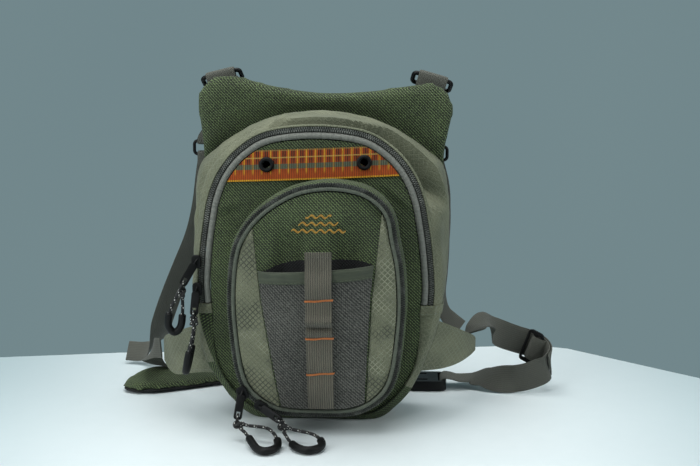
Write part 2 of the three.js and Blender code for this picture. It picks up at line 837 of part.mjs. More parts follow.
// Side rings on tabs behind the back panel, each with a strap hanging from it
const sides = [
  { name: "left", x: -102, z: 223 },
  { name: "right", x: 91, z: 218.5 },
];
const sideRing = { long: 26, short: 11.5, depth: 52.5, sewnDepth: 50.2 };
const sidePaths = {
  left: [
    { x: -106, y: 56, z: 200, wide: [1, 0, 0.2] },
    { x: -118, y: 64, z: 168, wide: [1, 0, 0.25] },
    { x: -131, y: 78, z: 140, wide: [1, 0, 0.3] },
    { x: -143, y: 92, z: 111, wide: [1, 0.1, 0.3] },
    { x: -154, y: 107, z: 79, wide: [1, 0.1, 0.3] },
    { x: -164, y: 122, z: 50, wide: [1, 0.1, 0.3] },
    { x: -174, y: 142, z: 26, wide: [0.8, 0.3, 0.6] },
    { x: -190, y: 155, z: 13, wide: [0.2, 0.5, 0.8] },
    { x: -208, y: 159, z: 12, wide: [0, 0.5, 0.8] },
  ],
  right: [
    { x: 95, y: 54, z: 190, wide: [1, 0, 0] },
    { x: 98, y: 54, z: 150, wide: [1, 0, 0] },
    { x: 98.5, y: 55, z: 110, wide: [1, 0, 0] },
    { x: 100, y: 57, z: 88, wide: [1, 0, 0.2] },
    { x: 108, y: 60, z: 70, wide: [0.8, 0, 0.6] },
    { x: 115, y: 61, z: 62.5, wide: [0.6, 0, 0.8] },
    { x: 119, y: 61.5, z: 58, wide: [0.5, 0, 0.9] },
  ],
};
for (const { name, x, z } of sides) {
  const wide = [1, 0, 0];
  const up = vector(0, 0, 1);
  const centre = vector(x, sideRing.depth, z);
  const upperBar = centre.clone().addScaledVector(up, sideRing.short / 2);
  const lowerBar = centre.clone().addScaledVector(up, -sideRing.short / 2);
  const { sewnDepth } = sideRing;
  addPiece(
    `side_ring_${name}`,
    wireRing({
      centre,
      long: sideRing.long,
      short: sideRing.short,
      longAxis: vector(1, 0, 0),
      shortAxis: up,
      radius: ringWire,
    }),
    "black"
  );
  const tabRows = [
    { x, y: sewnDepth, z: upperBar.z + 24, wide },
    { x, y: sewnDepth, z: upperBar.z + 6, wide },
    ...turnRows(upperBar, turnRadius, vector(0, -1, 0), vector(0, 0, -1), wide),
    { x, y: sideRing.depth + 0.5, z: upperBar.z + 8, wide },
    { x, y: sewnDepth + webbingWall + 0.4, z: upperBar.z + 18, wide },
  ];
  addPiece(`side_tab_${name}`, strap(tabRows, sideWebbing, 2), "webbing");

  const strapRows = [
    { x, y: sideRing.depth - turnRadius, z: lowerBar.z - 9, wide },
    ...turnRows(lowerBar, turnRadius, vector(0, -1, 0), up, wide),
    ...sidePaths[name],
  ];
  addPiece(`side_strap_${name}`, strap(strapRows, sideWebbing, 2), "webbing");
}

// Shoulder pad lying behind the pack, from its leaf-shaped tip
const padRows = [
  { x: -186, y: 60, half: 5 },
  { x: -180, y: 64, half: 15 },
  { x: -168, y: 72, half: 23 },
  { x: -150, y: 85, half: 27 },
  { x: -120, y: 104, half: 28 },
  { x: -80, y: 118, half: 27 },
  { x: -30, y: 124, half: 26 },
  { x: 20, y: 124, half: 25 },
  { x: 44, y: 123, half: 18 },
  { x: 50, y: 122, half: 8 },
];
const padSole = 4; // height of the seam between the pad and its lining
const padEdge = 5; // height that the padding thins down to at its ends
const padTaper = 16; // half width below which it thins
const padSections = {
  shoulder_pad: [
    { across: -1, up: padSole },
    { across: 1, up: padSole },
    { across: 0.97, up: 7 },
    { across: 0.6, up: 10.5 },
    { across: -0.6, up: 10.5 },
    { across: -0.97, up: 7 },
  ],
  pad_lining: [
    { across: -0.95, up: floorLift },
    { across: 0.95, up: floorLift },
    { across: 0.99, up: 2 },
    { across: 0.97, up: 3.7 },
    { across: -0.97, up: 3.7 },
    { across: -0.99, up: 2 },
  ],
};
for (const [name, section] of Object.entries(padSections)) {
  const rings = padRows.map((row, index) => {
    const before = padRows[Math.max(index - 1, 0)];
    const after = padRows[Math.min(index + 1, padRows.length - 1)];
    const run = vector(after.x - before.x, after.y - before.y, 0).normalize();
    const thin = smoothstep(row.half, 0, padTaper);
    return section.map(({ across, up }) => {
      const reach = across * row.half;
      const rise = up > padSole ? lerp(padEdge, up, thin) : up;
      return vector(row.x - run.y * reach, row.y + run.x * reach, rise);
    });
  });
  addPiece(name, loft(rings), name === "shoulder_pad" ? "olive" : "lining");
}

// A short tie curls from the left wing's tip down onto the pad
const tieRows = [
  { x: -147.5, y: 45.5, z: 45, wide: [0, 0, 1] },
  { x: -155, y: 53, z: 43, wide: [0.2, 0, 1] },
  { x: -161, y: 64, z: 36, wide: [0.5, 0.1, 0.8] },
  { x: -164, y: 76, z: 28, wide: [0.9, 0, 0.4] },
  { x: -162, y: 87, z: 20, wide: [1, -0.3, 0.1] },
  { x: -155, y: 95, z: 14.8, wide: [0.8, -0.6, 0] },
  { x: -146, y: 100, z: padTopLift + 0.2, wide: [0.6, -0.8, 0] },
  { x: -136, y: 105, z: padTopLift, wide: [0.45, -0.9, 0] },
];
addPiece("pad_tie", strap(tieRows, sideWebbing - 2, 2), "webbing");

// Belt: from the right wing's tip through the slider, round a loop and back to the buckle
const beltRows = [
  { x: 130.5, y: 58.5, z: 60.2, wide: [-0.25, 0.95, 0] },
  { x: 134.5, y: 66, z: 63.8, wide: [-0.25, 0.95, 0.1] },
  { x: 142.5, y: 77, z: 65, wide: [-0.2, 0.9, 0.3] },
  { x: 151, y: 88.5, z: 54.5, wide: [-0.05, 0.25, 0.97] },
  { x: 160, y: 96, z: 48.5, wide: [0.05, 0, 1] },
  { x: 172, y: 100.5, z: 43.5, wide: [0.1, 0, 1] },
  { x: 183, y: 101, z: 40, wide: [0.15, 0, 1] },
  { x: 192, y: 95.5, z: 36, wide: [0.1, -0.05, 1] },
  { x: 198, y: 86, z: 29.5, wide: [0, 0, 1] },
  { x: 196, y: 77.5, z: 22.5, wide: [-0.15, 0, 1] },
  { x: 184, y: 74.5, z: 17, wide: [-0.1, 0, 1] },
  { x: 169, y: 75, z: 13.2, wide: [0, 0, 1] },
  { x: 155, y: 79, z: 11.6, wide: [0, 0.55, 0.85] },
  { x: 143, y: 88, z: 11, wide: [0, 1, 0.35] },
  { x: 130, y: 96, z: 7.5, wide: [0, 1, 0.05] },
  { x: 119, y: 93.5, z: 6, wide: [0, 1, 0] },
  { x: 109.5, y: 92.5, z: 5.2, wide: [0, 1, 0] },
];
addPiece("belt", strap(beltRows, wideWebbing, 3), "webbing");

const tailRows = [
  { x: 187, y: 103.5, z: 33, wide: [0.1, 0, 1] },
  { x: 196.5, y: 97.3, z: 27, wide: [0.05, 0, 1] },
  { x: 203.6, y: 86.5, z: 20.5, wide: [0, 0, 1] },
  { x: 201, y: 74.4, z: 16.5, wide: [-0.1, 0, 1] },
  { x: 187, y: 71.2, z: 13.8, wide: [-0.1, 0, 1] },
];
addPiece("belt_tail", strap(tailRows, wideWebbing, 3), "webbing");

// Turn a flat piece so that its length and its face point along two directions
function facing(mesh, longAxis, outAxis) {
  const long = longAxis.clone().normalize();
  const out = outAxis.clone().addScaledVector(long, -outAxis.dot(long)).normalize();
  const across = vector(0, 0, 0).crossVectors(long, out);
  mesh.quaternion.setFromRotationMatrix(new THREE.Matrix4().makeBasis(across, long, out));
}

// A flat outline with rounded corners, as separate points
function roundedShape(width, height, corner) {
  const cornerSteps = 2;
  const points = [];
  const signs = [[1, 1], [-1, 1], [-1, -1], [1, -1]];
  signs.forEach(([signX, signY], index) => {
    for (let i = 0; i <= cornerSteps; i += 1) {
      const angle = (Math.PI / 2) * (index + i / cornerSteps);
      const x = signX * (width / 2 - corner) + Math.cos(angle) * corner;
      const y = signY * (height / 2 - corner) + Math.sin(angle) * corner;
      points.push(new THREE.Vector2(x, y));
    }
  });
  return new THREE.Shape(points);
}

function slot(x, y, width, height) {
  const corners = [[-1, -1], [-1, 1], [1, 1], [1, -1]];
  const points = corners.map(
    ([signX, signY]) => new THREE.Vector2(x + (signX * width) / 2, y + (signY * height) / 2)
  );
  return new THREE.Path(points);
}

function plate(shape, depth) {
  const geometry = new THREE.ExtrudeGeometry(shape, { depth, bevelEnabled: false });
  return geometry.translate(0, 0, -depth / 2);
}

// Belt slider: a flat frame with a bar across it, on the front of the belt
const sliderPlate = { width: 15, length: 31, corner: 3, depth: 2.6, slotX: 3.7, slotWidth: 3.6, stand: 4.9 };
const sliderFrame = roundedShape(sliderPlate.width, sliderPlate.length, sliderPlate.corner);
sliderFrame.holes.push(slot(-sliderPlate.slotX, 0, sliderPlate.slotWidth, wideWebbing - 0.4));
sliderFrame.holes.push(slot(sliderPlate.slotX, 0, sliderPlate.slotWidth, wideWebbing - 0.8));
const beltSlider = addPiece("belt_slider", plate(sliderFrame, sliderPlate.depth), "black");
const sliderWide = vector(0.33, -0.1, 0.94);
const sliderOut = vector(-0.52, -0.85, 0).normalize();
beltSlider.position.copy(vector(187.7, 98.7, 38.1).addScaledVector(sliderOut, sliderPlate.stand));
facing(beltSlider, sliderWide, sliderOut);

// Belt buckle lying on the floor, with the belt's end at its bar
const buckle = { x: 88.5, y: 92.5, length: 37, width: 34, height: 9, corner: 6 };
const buckleSlots = [
  { x: 13.5, y: 0, width: 4.5, height: wideWebbing + 1 },
  { x: -6, y: 9.5, width: 14, height: 3.4 },
  { x: -6, y: -9.5, width: 15, height: 3.4 },
];
const buckleShape = roundedShape(buckle.length, buckle.width, buckle.corner);
for (const { x, y, width, height } of buckleSlots) {
  buckleShape.holes.push(slot(x, y, width, height));
}
const beltBuckle = addPiece("belt_buckle", plate(buckleShape, buckle.height), "black");
beltBuckle.position.set(buckle.x, buckle.y, buckle.height / 2 + floorLift);

// Zip pulls: a slider on the zip, a tab, and a cord loop through a rubber grip
const sliderSize = { width: 8, length: 11, depth: 3.4, corner: 2.4 };
const tabSize = { width: 6.5, length: 20, depth: 2.2, corner: 2 };
const cordSlot = { width: 3, length: 4, fromEnd: 4.4 };
const boreGap = 0.95; // between a cord and its grip
const pulls = [
  {
    slider: { x: -102.2, y: -14.6, z: 134 },
    run: [0.05, 0, 1],
    tabFrom: { x: -103, y: -18, z: 133 },
    tabTo: { x: -113, y: -22, z: 115.4 },
    grip: { from: 0.3, to: 0.8 },
    loop: [
      { x: -114.4, y: -22.8, z: 112.2 },
      { x: -117.4, y: -23.8, z: 106 },
      { x: -121.8, y: -24, z: 97.5 },
      { x: -124.8, y: -22.6, z: 87.5 },
      { x: -124.8, y: -20.4, z: 79.8 },
      { x: -120.6, y: -18.8, z: 75.4 },
      { x: -116, y: -18.6, z: 79.6 },
      { x: -113.6, y: -19.4, z: 92 },
      { x: -113.2, y: -20.2, z: 105.6 },
    ],
  },
  {
    slider: { x: -101.8, y: -14.6, z: 111 },
    run: [0, 0, 1],
    tabFrom: { x: -102.4, y: -18, z: 110 },
    tabTo: { x: -104.2, y: -20.4, z: 90 },
    grip: { from: 0.3, to: 0.78 },
    loop: [
      { x: -104.4, y: -21.6, z: 87.4 },
      { x: -103.8, y: -25.4, z: 79 },
      { x: -106.3, y: -27.5, z: 65 },
      { x: -109.3, y: -26.5, z: 51 },
      { x: -111.6, y: -21, z: 43 },
      { x: -111, y: -15, z: 47 },
      { x: -108.3, y: -13.4, z: 60 },
      { x: -105.4, y: -15.4, z: 74 },
      { x: -104, y: -18.6, z: 83.4 },
    ],
  },
  {
    slider: { x: -59.8, y: -52.6, z: 35 },
    run: [0.42, 0, -0.9],
    tabFrom: { x: -60.3, y: -56.2, z: 34.5 },
    tabTo: { x: -62.6, y: -63.6, z: 16.6 },
    grip: { from: 0.36, to: 0.86 },
    loop: [
      { x: -60.6, y: -66.2, z: 14.6 },
      { x: -53.6, y: -67, z: 12.9 },
      { x: -45.4, y: -68.6, z: 12.7 },
      { x: -37.6, y: -69.6, z: 11.6 },
      { x: -32.4, y: -73, z: 8.6 },
      { x: -28.9, y: -79, z: 4.9 },
      { x: -28.2, y: -85.5, z: 3.3 },
      { x: -30, y: -92.6, z: 3.3 },
      { x: -36, y: -97.6, z: 3.3 },
      { x: -42.4, y: -93.6, z: 3.3 },
      { x: -48.1, y: -84.5, z: 5.2 },
      { x: -52.9, y: -75.6, z: 7.8 },
      { x: -57.2, y: -70.2, z: 9.8 },
      { x: -60.4, y: -67.6, z: 11.2 },
    ],
  },
  {
    slider: { x: -45, y: -52.6, z: 24.3 },
    run: [0.85, 0, -0.5],
    tabFrom: { x: -44, y: -56.2, z: 24 },
    tabTo: { x: -28, y: -65.2, z: 16.8 },
    grip: { from: 0.36, to: 0.85 },
    loop: [
      { x: -25.4, y: -66.6, z: 14.4 },
      { x: -19.6, y: -68, z: 11.2 },
      { x: -12.3, y: -69.5, z: 10 },
      { x: -4.5, y: -70, z: 8.5 },
      { x: 1.3, y: -73, z: 7 },
      { x: 5.2, y: -78, z: 4.4 },
      { x: 5.4, y: -84, z: 3.3 },
      { x: 2.8, y: -90, z: 3.3 },
      { x: -4, y: -94, z: 3.3 },
      { x: -12, y: -89.2, z: 3.3 },
      { x: -18.3, y: -79.8, z: 3.8 },
      { x: -22, y: -74, z: 6 },
      { x: -25.2, y: -70.2, z: 9.2 },
    ],
  },
];

// A round-walled sleeve along part of a curve
function sleeve(curve, from, to, outerRadius, innerRadius) {
  const sides = 8;
  const stations = 11;
  const fine = 60;
  const frames = curve.computeFrenetFrames(fine, false);
  const rings = (radius) =>
    steps(from, to, stations - 1).map((along) => {
      const frame = Math.round(along * fine);
      const point = curve.getPointAt(along);
      return Array.from({ length: sides }, (unused, side) => {
        const turn = (2 * Math.PI * side) / sides;
        return point
          .clone()
          .addScaledVector(frames.normals[frame], Math.cos(turn) * radius)
          .addScaledVector(frames.binormals[frame], Math.sin(turn) * radius);
      });
    });
  return shell(rings(outerRadius), rings(innerRadius), true);
}

function roundSection(radius, sides) {
  const points = Array.from({ length: sides }, (unused, side) => {
    const turn = (2 * Math.PI * side) / sides;
    return new THREE.Vector2(Math.cos(turn) * radius, Math.sin(turn) * radius);
  });
  return new THREE.Shape(points);
}

pulls.forEach(({ slider, run, tabFrom, tabTo, grip, loop }, index) => {
  const number = index + 1;
  const forward = vector(0, -1, 0);
  const sliderShape = roundedShape(sliderSize.width, sliderSize.length, sliderSize.corner);
  const body = plate(sliderShape, sliderSize.depth);
  const sliderMesh = addPiece(`slider_${number}`, body, "black");
  sliderMesh.position.copy(place(slider));
  facing(sliderMesh, vector(...run), forward);

  const tabShape = roundedShape(tabSize.width, tabSize.length, tabSize.corner);
  const slotY = cordSlot.fromEnd - tabSize.length / 2;
  tabShape.holes.push(slot(0, slotY, cordSlot.width, cordSlot.length));
  const tabMesh = addPiece(`puller_${number}`, plate(tabShape, tabSize.depth), "black");
  tabMesh.position.copy(place(tabFrom).lerp(place(tabTo), 0.5));
  facing(tabMesh, place(tabFrom).sub(place(tabTo)), forward);

  const route = new THREE.CatmullRomCurve3(loop.map(place), false, "centripetal");
  const stepLength = 2.5 * 2 * cordRadius;
  const cord = new THREE.ExtrudeGeometry(roundSection(cordRadius, 8), {
    steps: Math.round(route.getLength() / stepLength),
    extrudePath: route,
    bevelEnabled: false,
  });
  addPiece(`pull_cord_${number}`, cord, "cord");
  const bore = cordRadius + boreGap;
  addPiece(`pull_grip_${number}`, sleeve(route, grip.from, grip.to, gripRadius, bore), "grip");
});

export default group;
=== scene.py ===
import math

import bmesh
import bpy
import numpy as np
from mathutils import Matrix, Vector, noise


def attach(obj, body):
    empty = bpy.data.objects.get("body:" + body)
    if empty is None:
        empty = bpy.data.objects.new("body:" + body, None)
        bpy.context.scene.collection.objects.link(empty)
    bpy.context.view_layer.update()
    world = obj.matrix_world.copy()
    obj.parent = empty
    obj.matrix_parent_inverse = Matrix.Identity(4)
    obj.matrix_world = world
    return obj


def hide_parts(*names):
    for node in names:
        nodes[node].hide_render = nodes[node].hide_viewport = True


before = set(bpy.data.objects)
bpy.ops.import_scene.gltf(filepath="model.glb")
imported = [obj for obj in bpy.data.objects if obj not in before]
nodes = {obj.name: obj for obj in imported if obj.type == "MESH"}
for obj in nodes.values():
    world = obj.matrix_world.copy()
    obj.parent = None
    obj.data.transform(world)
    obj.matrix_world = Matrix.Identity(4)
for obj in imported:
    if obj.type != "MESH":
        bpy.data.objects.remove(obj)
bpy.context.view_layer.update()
scene = bpy.context.scene
print("frame loaded")

# Sizes shared by several pieces, in millimetres
pack = {
    "gap": 0.3,
    "clothWall": 1.6,
    "meshWall": 1.0,
    "webbingWall": 1.5,
    "wideWebbing": 25.0,
    "sideWebbing": 20.0,
    "seamDepth": 36.0,
    "zipDepth": -10.0,
    "pocketDepth": -48.0,
    "lean": -4.5,
    "zipEnd": 98.0,
    "zipTape": 6.4,
    "bindingWidth": 5.2,
    "lowerFlange": 2.2,
    "flangeFrom": 34.0,
    "baseLeft": 50.0,  # below these heights the cloth is the olive of the base
    "baseRight": 31.0,
    "ringWire": 1.4,
    "hornWire": 1.9,
    "cordRadius": 1.35,
}

# Curves and small array helpers


def unit(vectors):
    return vectors / np.maximum(np.linalg.norm(vectors, axis=-1, keepdims=True), 1e-9)


def runLengths(points):
    steps = np.linalg.norm(np.diff(points, axis=0), axis=1)
    return np.concatenate([[0.0], np.cumsum(steps)])


# Columns side by side, as points
def joined(*columns):
    return np.stack(np.broadcast_arrays(*columns), -1)


# Points at given distances along a run
def pointsAt(points, run, at):
    return joined(*[np.interp(at, run, column) for column in points.T])


def evenly(points, count):
    run = runLengths(points)
    return pointsAt(points, run, np.linspace(0, run[-1], count))


# Flat x, z points stood at a depth
def atDepth(flat, depth):
    return joined(flat[:, 0], depth, flat[:, 1])


def hermite(start, end, leaving, arriving, share):
    square, cube = share**2, share**3
    return (
        start * (2 * cube - 3 * square + 1)
        + leaving * (cube - 2 * square + share)
        + end * (3 * square - 2 * cube)
        + arriving * (cube - square)
    )


def closedOutline(rows, count):
    knots = np.array(rows, float)
    size = len(knots)
    share = np.linspace(0, 1, 30, endpoint=False)[:, None]
    dense = []
    for i in range(size):
        before, start, end, after = (knots[(i + k) % size] for k in (-1, 0, 1, 2))
        dense.append(hermite(start, end, (end - before) / 2, (after - start) / 2, share))
    return evenly(np.concatenate([*dense, knots[:1]]), count + 1)[:-1]


# A smooth run through rows, at positions counted in rows
def routeThrough(rows, positions):
    knots = np.array(rows, float)
    knots = np.vstack([2 * knots[0] - knots[1], knots, 2 * knots[-1] - knots[-2]])
    made = []
    for position in positions:
        i = min(int(position), len(knots) - 4)
        p0, p1, p2, p3 = knots[i : i + 4]
        t0, t1, t2 = (max(np.linalg.norm(b - a), 1e-6) ** 0.5 for a, b in ((p0, p1), (p1, p2), (p2, p3)))
        leaving = ((p1 - p0) / t0 - (p2 - p0) / (t0 + t1) + (p2 - p1) / t1) * t1
        arriving = ((p2 - p1) / t1 - (p3 - p1) / (t1 + t2) + (p3 - p2) / t2) * t1
        made.append(hermite(p1, p2, leaving, arriving, position - i))
    return np.array(made)


def smoothRun(rows, perRow):
    return routeThrough(rows, np.linspace(0, len(rows) - 1, (len(rows) - 1) * perRow + 1))


def mirroredRows(rows):
    return [*rows, *[(-x, z) for x, z in reversed(rows[1:-1])]]


def inwardOf(path, closed):
    run = np.roll(path, -1, 0) - np.roll(path, 1, 0) if closed else np.gradient(path, axis=0)
    run = unit(run)
    return joined(-run[:, 1], run[:, 0])


# Where a loop's right (1) or left (-1) side stands at given heights
def edgeAt(loop, heights, side):
    half = len(loop) // 2
    walk = loop[: half + 1] if side > 0 else np.vstack([loop[:1], loop[half:][::-1]])
    return np.interp(heights, np.maximum.accumulate(walk[:, 1]), walk[:, 0])


# Heights of a loop's top or foot over x
def edgeHeight(loop, x, top):
    topFrom, footTo = 150, 50
    part = loop[loop[:, 1] > topFrom] if top else loop[loop[:, 1] < footTo]
    part = part[np.argsort(part[:, 0])]
    return np.interp(x, part[:, 0], part[:, 1])


def ease(values, low, high):
    share = np.clip((np.asarray(values, float) - low) / (high - low), 0, 1)
    return share * share * (3 - 2 * share)


def fullTurn(count):
    return np.linspace(0, 2 * math.pi, count, endpoint=False)


def lerp(a, b, share):
    return a + (b - a) * share


# A soft bump, 1 at its middle
def bump(values, middle, wide):
    return np.exp(-(((values - middle) / wide) ** 2))


# Slow uneven cloth, from -1 to 1 over points in millimetres
def rumple(points, size, seed):
    shift = Vector((seed * 3.7, seed * 1.3, seed * 7.1))
    flat = points.reshape(-1, 3) / size
    return np.array([noise.noise(Vector(p) + shift) for p in flat]).reshape(points.shape[:-1])


# Finishes: shader sums read as plain expressions


class Wire:
    def __init__(self, finish, socket):
        self.finish = finish
        self.socket = socket

    def sums(self, operation, *values):
        return self.finish.node("ShaderNodeMath", {"operation": operation}, dict(enumerate(values)))

    def __add__(self, other):
        return self.sums("ADD", self, other)

    __radd__ = __add__

    def __sub__(self, other):
        return self.sums("SUBTRACT", self, other)

    def __rsub__(self, other):
        return self.sums("SUBTRACT", other, self)

    def __mul__(self, other):
        return self.sums("MULTIPLY", self, other)

    __rmul__ = __mul__

    def __truediv__(self, other):
        return self.sums("DIVIDE", self, other)

    def __abs__(self):
        return self.sums("ABSOLUTE", self)

    def __gt__(self, other):
        return self.sums("GREATER_THAN", self, other)

    def __lt__(self, other):
        return self.sums("LESS_THAN", self, other)

    # A sine wave that repeats over a length
    def wave(self, length):
        return self.sums("SINE", self * (2 * math.pi / length))

    def fraction(self):
        return self.sums("FRACT", self)

    def atLeast(self, other):
        return self.sums("MAXIMUM", self, other)


def paint(red, green, blue):
    shades = [channel / 255 for channel in (red, green, blue)]
    linear = [s / 12.92 if s <= 0.04045 else ((s + 0.055) / 1.055) ** 2.4 for s in shades]
    return (*linear, 1.0)


class Finish:
    def __init__(self, name, slot, **constants):
        self.slot = slot
        self.material = bpy.data.materials.new(name)
        self.material.use_nodes = True
        self.tree = self.material.node_tree
        self.shader = self.tree.nodes["Principled BSDF"]
        for socket, value in constants.items():
            self.shader.inputs[socket.replace("_", " ")].default_value = value

    def node(self, kind, settings, sockets, output=0):
        made = self.tree.nodes.new(kind)
        for key, value in settings.items():
            setattr(made, key, value)
        for key, value in sockets.items():
            if isinstance(value, Wire):
                self.tree.links.new(value.socket, made.inputs[key])
            else:
                made.inputs[key].default_value = value
        return Wire(self, made.outputs[output])

    def feed(self, **sockets):
        for socket, wire in sockets.items():
            self.tree.links.new(wire.socket, self.shader.inputs[socket.replace("_", " ")])

    # Millimetres across and along the cloth
    def cloth(self):
        across = self.node("ShaderNodeUVMap", {"uv_map": "clothMap"}, {})
        split = self.node("ShaderNodeSeparateXYZ", {}, {0: across})
        return split, Wire(self, split.socket.node.outputs[1])

    def place(self):
        return self.node("ShaderNodeTexCoord", {}, {}, "Object")

    def grain(self, scale, detail=2.0, vector=None):
        sockets = {"Vector": vector or self.place(), "Scale": scale, "Detail": detail}
        return self.node("ShaderNodeTexNoise", {}, sockets)

    # Noise stretched along one direction of the cloth, for threads
    def threads(self, across, along, acrossSize, alongSize):
        stretched = self.node("ShaderNodeCombineXYZ", {}, {0: across / acrossSize, 1: along / alongSize})
        return self.grain(1.0, 1.0, stretched)

    def steps(self, value, low, high):
        sockets = {"Value": value, "From Min": low, "From Max": high}
        return self.node("ShaderNodeMapRange", {"interpolation_type": "SMOOTHSTEP"}, sockets)

    def blend(self, share, first, second):
        sockets = {0: share, 6: first, 7: second}
        return self.node("ShaderNodeMix", {"data_type": "RGBA"}, sockets, 2)

    def relief(self, height, distance, strength=1.0):
        sockets = {"Height": height, "Distance": distance, "Strength": strength}
        self.feed(Normal=self.node("ShaderNodeBump", {}, sockets))


def oliveFinish():
    look = {
        "twill": 2.7,
        "dark": paint(3, 5, 2),
        "light": paint(111, 131, 82),
        "paintedHighlight": paint(80, 88, 63),
    }
    made = Finish("oliveWeave", "olive_weave", Roughness=0.92, Sheen_Weight=0.04)
    across, along = made.cloth()
    falling = (across + along).wave(look["twill"])
    dots = falling * (across - along).wave(look["twill"])
    yarn = made.grain(620, 2)
    cloud = made.grain(15, 3)
    lump = falling * 0.24 + dots * 0.24 + yarn * 0.5 + 0.25
    tone = made.steps(lump, 0.27, 1.02)
    colour = made.blend(tone, look["dark"], look["light"])
    # Cloud patches of painted light: the darker ones are painted shade, the lighter ones painted highlight
    shade = made.steps(cloud, 0.35, 0.7)
    colour = made.blend(shade * 0.35, colour, look["dark"])
    made.feed(Base_Color=made.blend(made.steps(cloud, 0.5, 0.25) * 0.12, colour, look["paintedHighlight"]))
    made.feed(Roughness=yarn * 0.14 + 0.82)
    made.relief(lump, 0.0009)
    return made


# Ripstop: a faint pale grid, or diamonds in pale and dark lines that come and go; these pale and dark lines
# are painted highlight and painted shade on the raised ribs
def sageFinish(name, grid, strength, contrast):
    look = {
        "base": paint(105, 107, 85),
        "deep": paint(74, 78, 60),
        "rib": paint(130, 133, 109),
        "line": paint(42, 46, 35),
        "ribHighlight": paint(146, 148, 125),
    }
    made = Finish(name, "sage_cloth", Roughness=0.76, Sheen_Weight=0.06)
    across, along = made.cloth()
    rising = abs(((across + along) / grid).fraction() - 0.5)
    falling = abs(((across - along) / grid).fraction() - 0.5)
    rib = made.steps(rising.atLeast(falling), 0.34, 0.47)
    weave = made.threads(across, along, 0.8, 1.3)
    cloud = made.grain(30, 4)
    colour = made.blend(made.steps(cloud, 0.25, 0.75), look["deep"], look["base"])
    colour = made.blend(made.steps(weave, 0.3, 0.75) * 0.4, colour, look["rib"])
    # Painted highlight and painted shade: the ribs turn pale in some patches and dark in others
    lines = made.blend(made.steps(made.grain(26, 2), 0.42, 0.58), look["ribHighlight"], look["line"])
    patches = made.steps(made.grain(38, 2), 0.36, 0.56) * strength + (1 - contrast) * strength * 0.4
    made.feed(Base_Color=made.blend(rib * patches, colour, lines if contrast else look["rib"]))
    made.feed(Roughness=0.8 - rib * 0.1)
    made.relief(rib * (0.2 + strength * 0.5) + weave * 0.5 + cloud * 2.6, 0.0007)
    return made


def tapeFinish():
    look = {"dark": paint(28, 30, 28), "light": paint(74, 76, 70), "rib": 1.1}
    made = Finish("greyTape", "grey_tape", Roughness=0.85)
    across, along = made.cloth()
    slant = (along + across * 0.8).wave(look["rib"]) * 0.5 + 0.5
    yarn = made.threads(across, along, 0.4, 1.2)
    colour = made.blend(slant * 0.45 + yarn * 0.55, look["dark"], look["light"])
    made.feed(Base_Color=colour)
    made.relief(slant + yarn * 0.6, 0.0003)
    return made


def bindingFinish(name, dark, light, slot="grey_tape"):
    made = Finish(name, slot, Roughness=0.65, Sheen_Weight=0.1)
    across, along = made.cloth()
    crease = made.threads(across, along, 9.0, 2.6)
    yarn = made.threads(across, along, 0.5, 0.9)
    made.feed(Base_Color=made.blend(crease * 0.7 + yarn * 0.3, dark, light))
    made.feed(Roughness=yarn * 0.2 + 0.55)
    made.relief(crease * 1.6 + yarn * 0.25, 0.0006)
    return made


def meshFinish():
    # The holes are painted shade: near black where the shaded cloth behind would show through
    look = {"cell": 2.9, "yarn": paint(113, 112, 105), "holeShade": paint(23, 24, 22)}
    made = Finish("greyMesh", "grey_mesh", Roughness=0.88)
    across, along = made.cloth()
    falling = (across + along).wave(look["cell"])
    dots = (falling * (across - along).wave(look["cell"]) + falling) * 0.3 + 0.5
    yarn = made.grain(620, 2)
    cloud = made.grain(20, 2)
    tone = made.steps(dots * 0.55 + yarn * 0.6 + cloud * 0.25, 0.42, 1.17)
    made.feed(Base_Color=made.blend(tone, look["holeShade"], look["yarn"]))
    made.relief(dots + yarn * 0.5, 0.0007)
    return made


def webbingFinish(name, ribbed, dark, light):
    look = {"rib": 1.75, "pick": 1.3}
    made = Finish(name, "webbing", Roughness=0.84, Sheen_Weight=0.06)
    across, along = made.cloth()
    ribs = across.wave(look["rib"])
    picks = along.wave(look["pick"])
    weave = ribs * (0.26 * ribbed) + ribs * picks * 0.24 + 0.5
    yarn = made.threads(across, along, 0.6, 1.2)
    cloud = made.grain(26, 3)
    tone = weave * 0.62 + yarn * 0.42 + cloud * 0.34 - 0.22
    made.feed(Base_Color=made.blend(tone, dark, light))
    made.feed(Roughness=yarn * 0.2 + 0.72)
    made.relief(weave + yarn * 0.35, 0.0006)
    return made


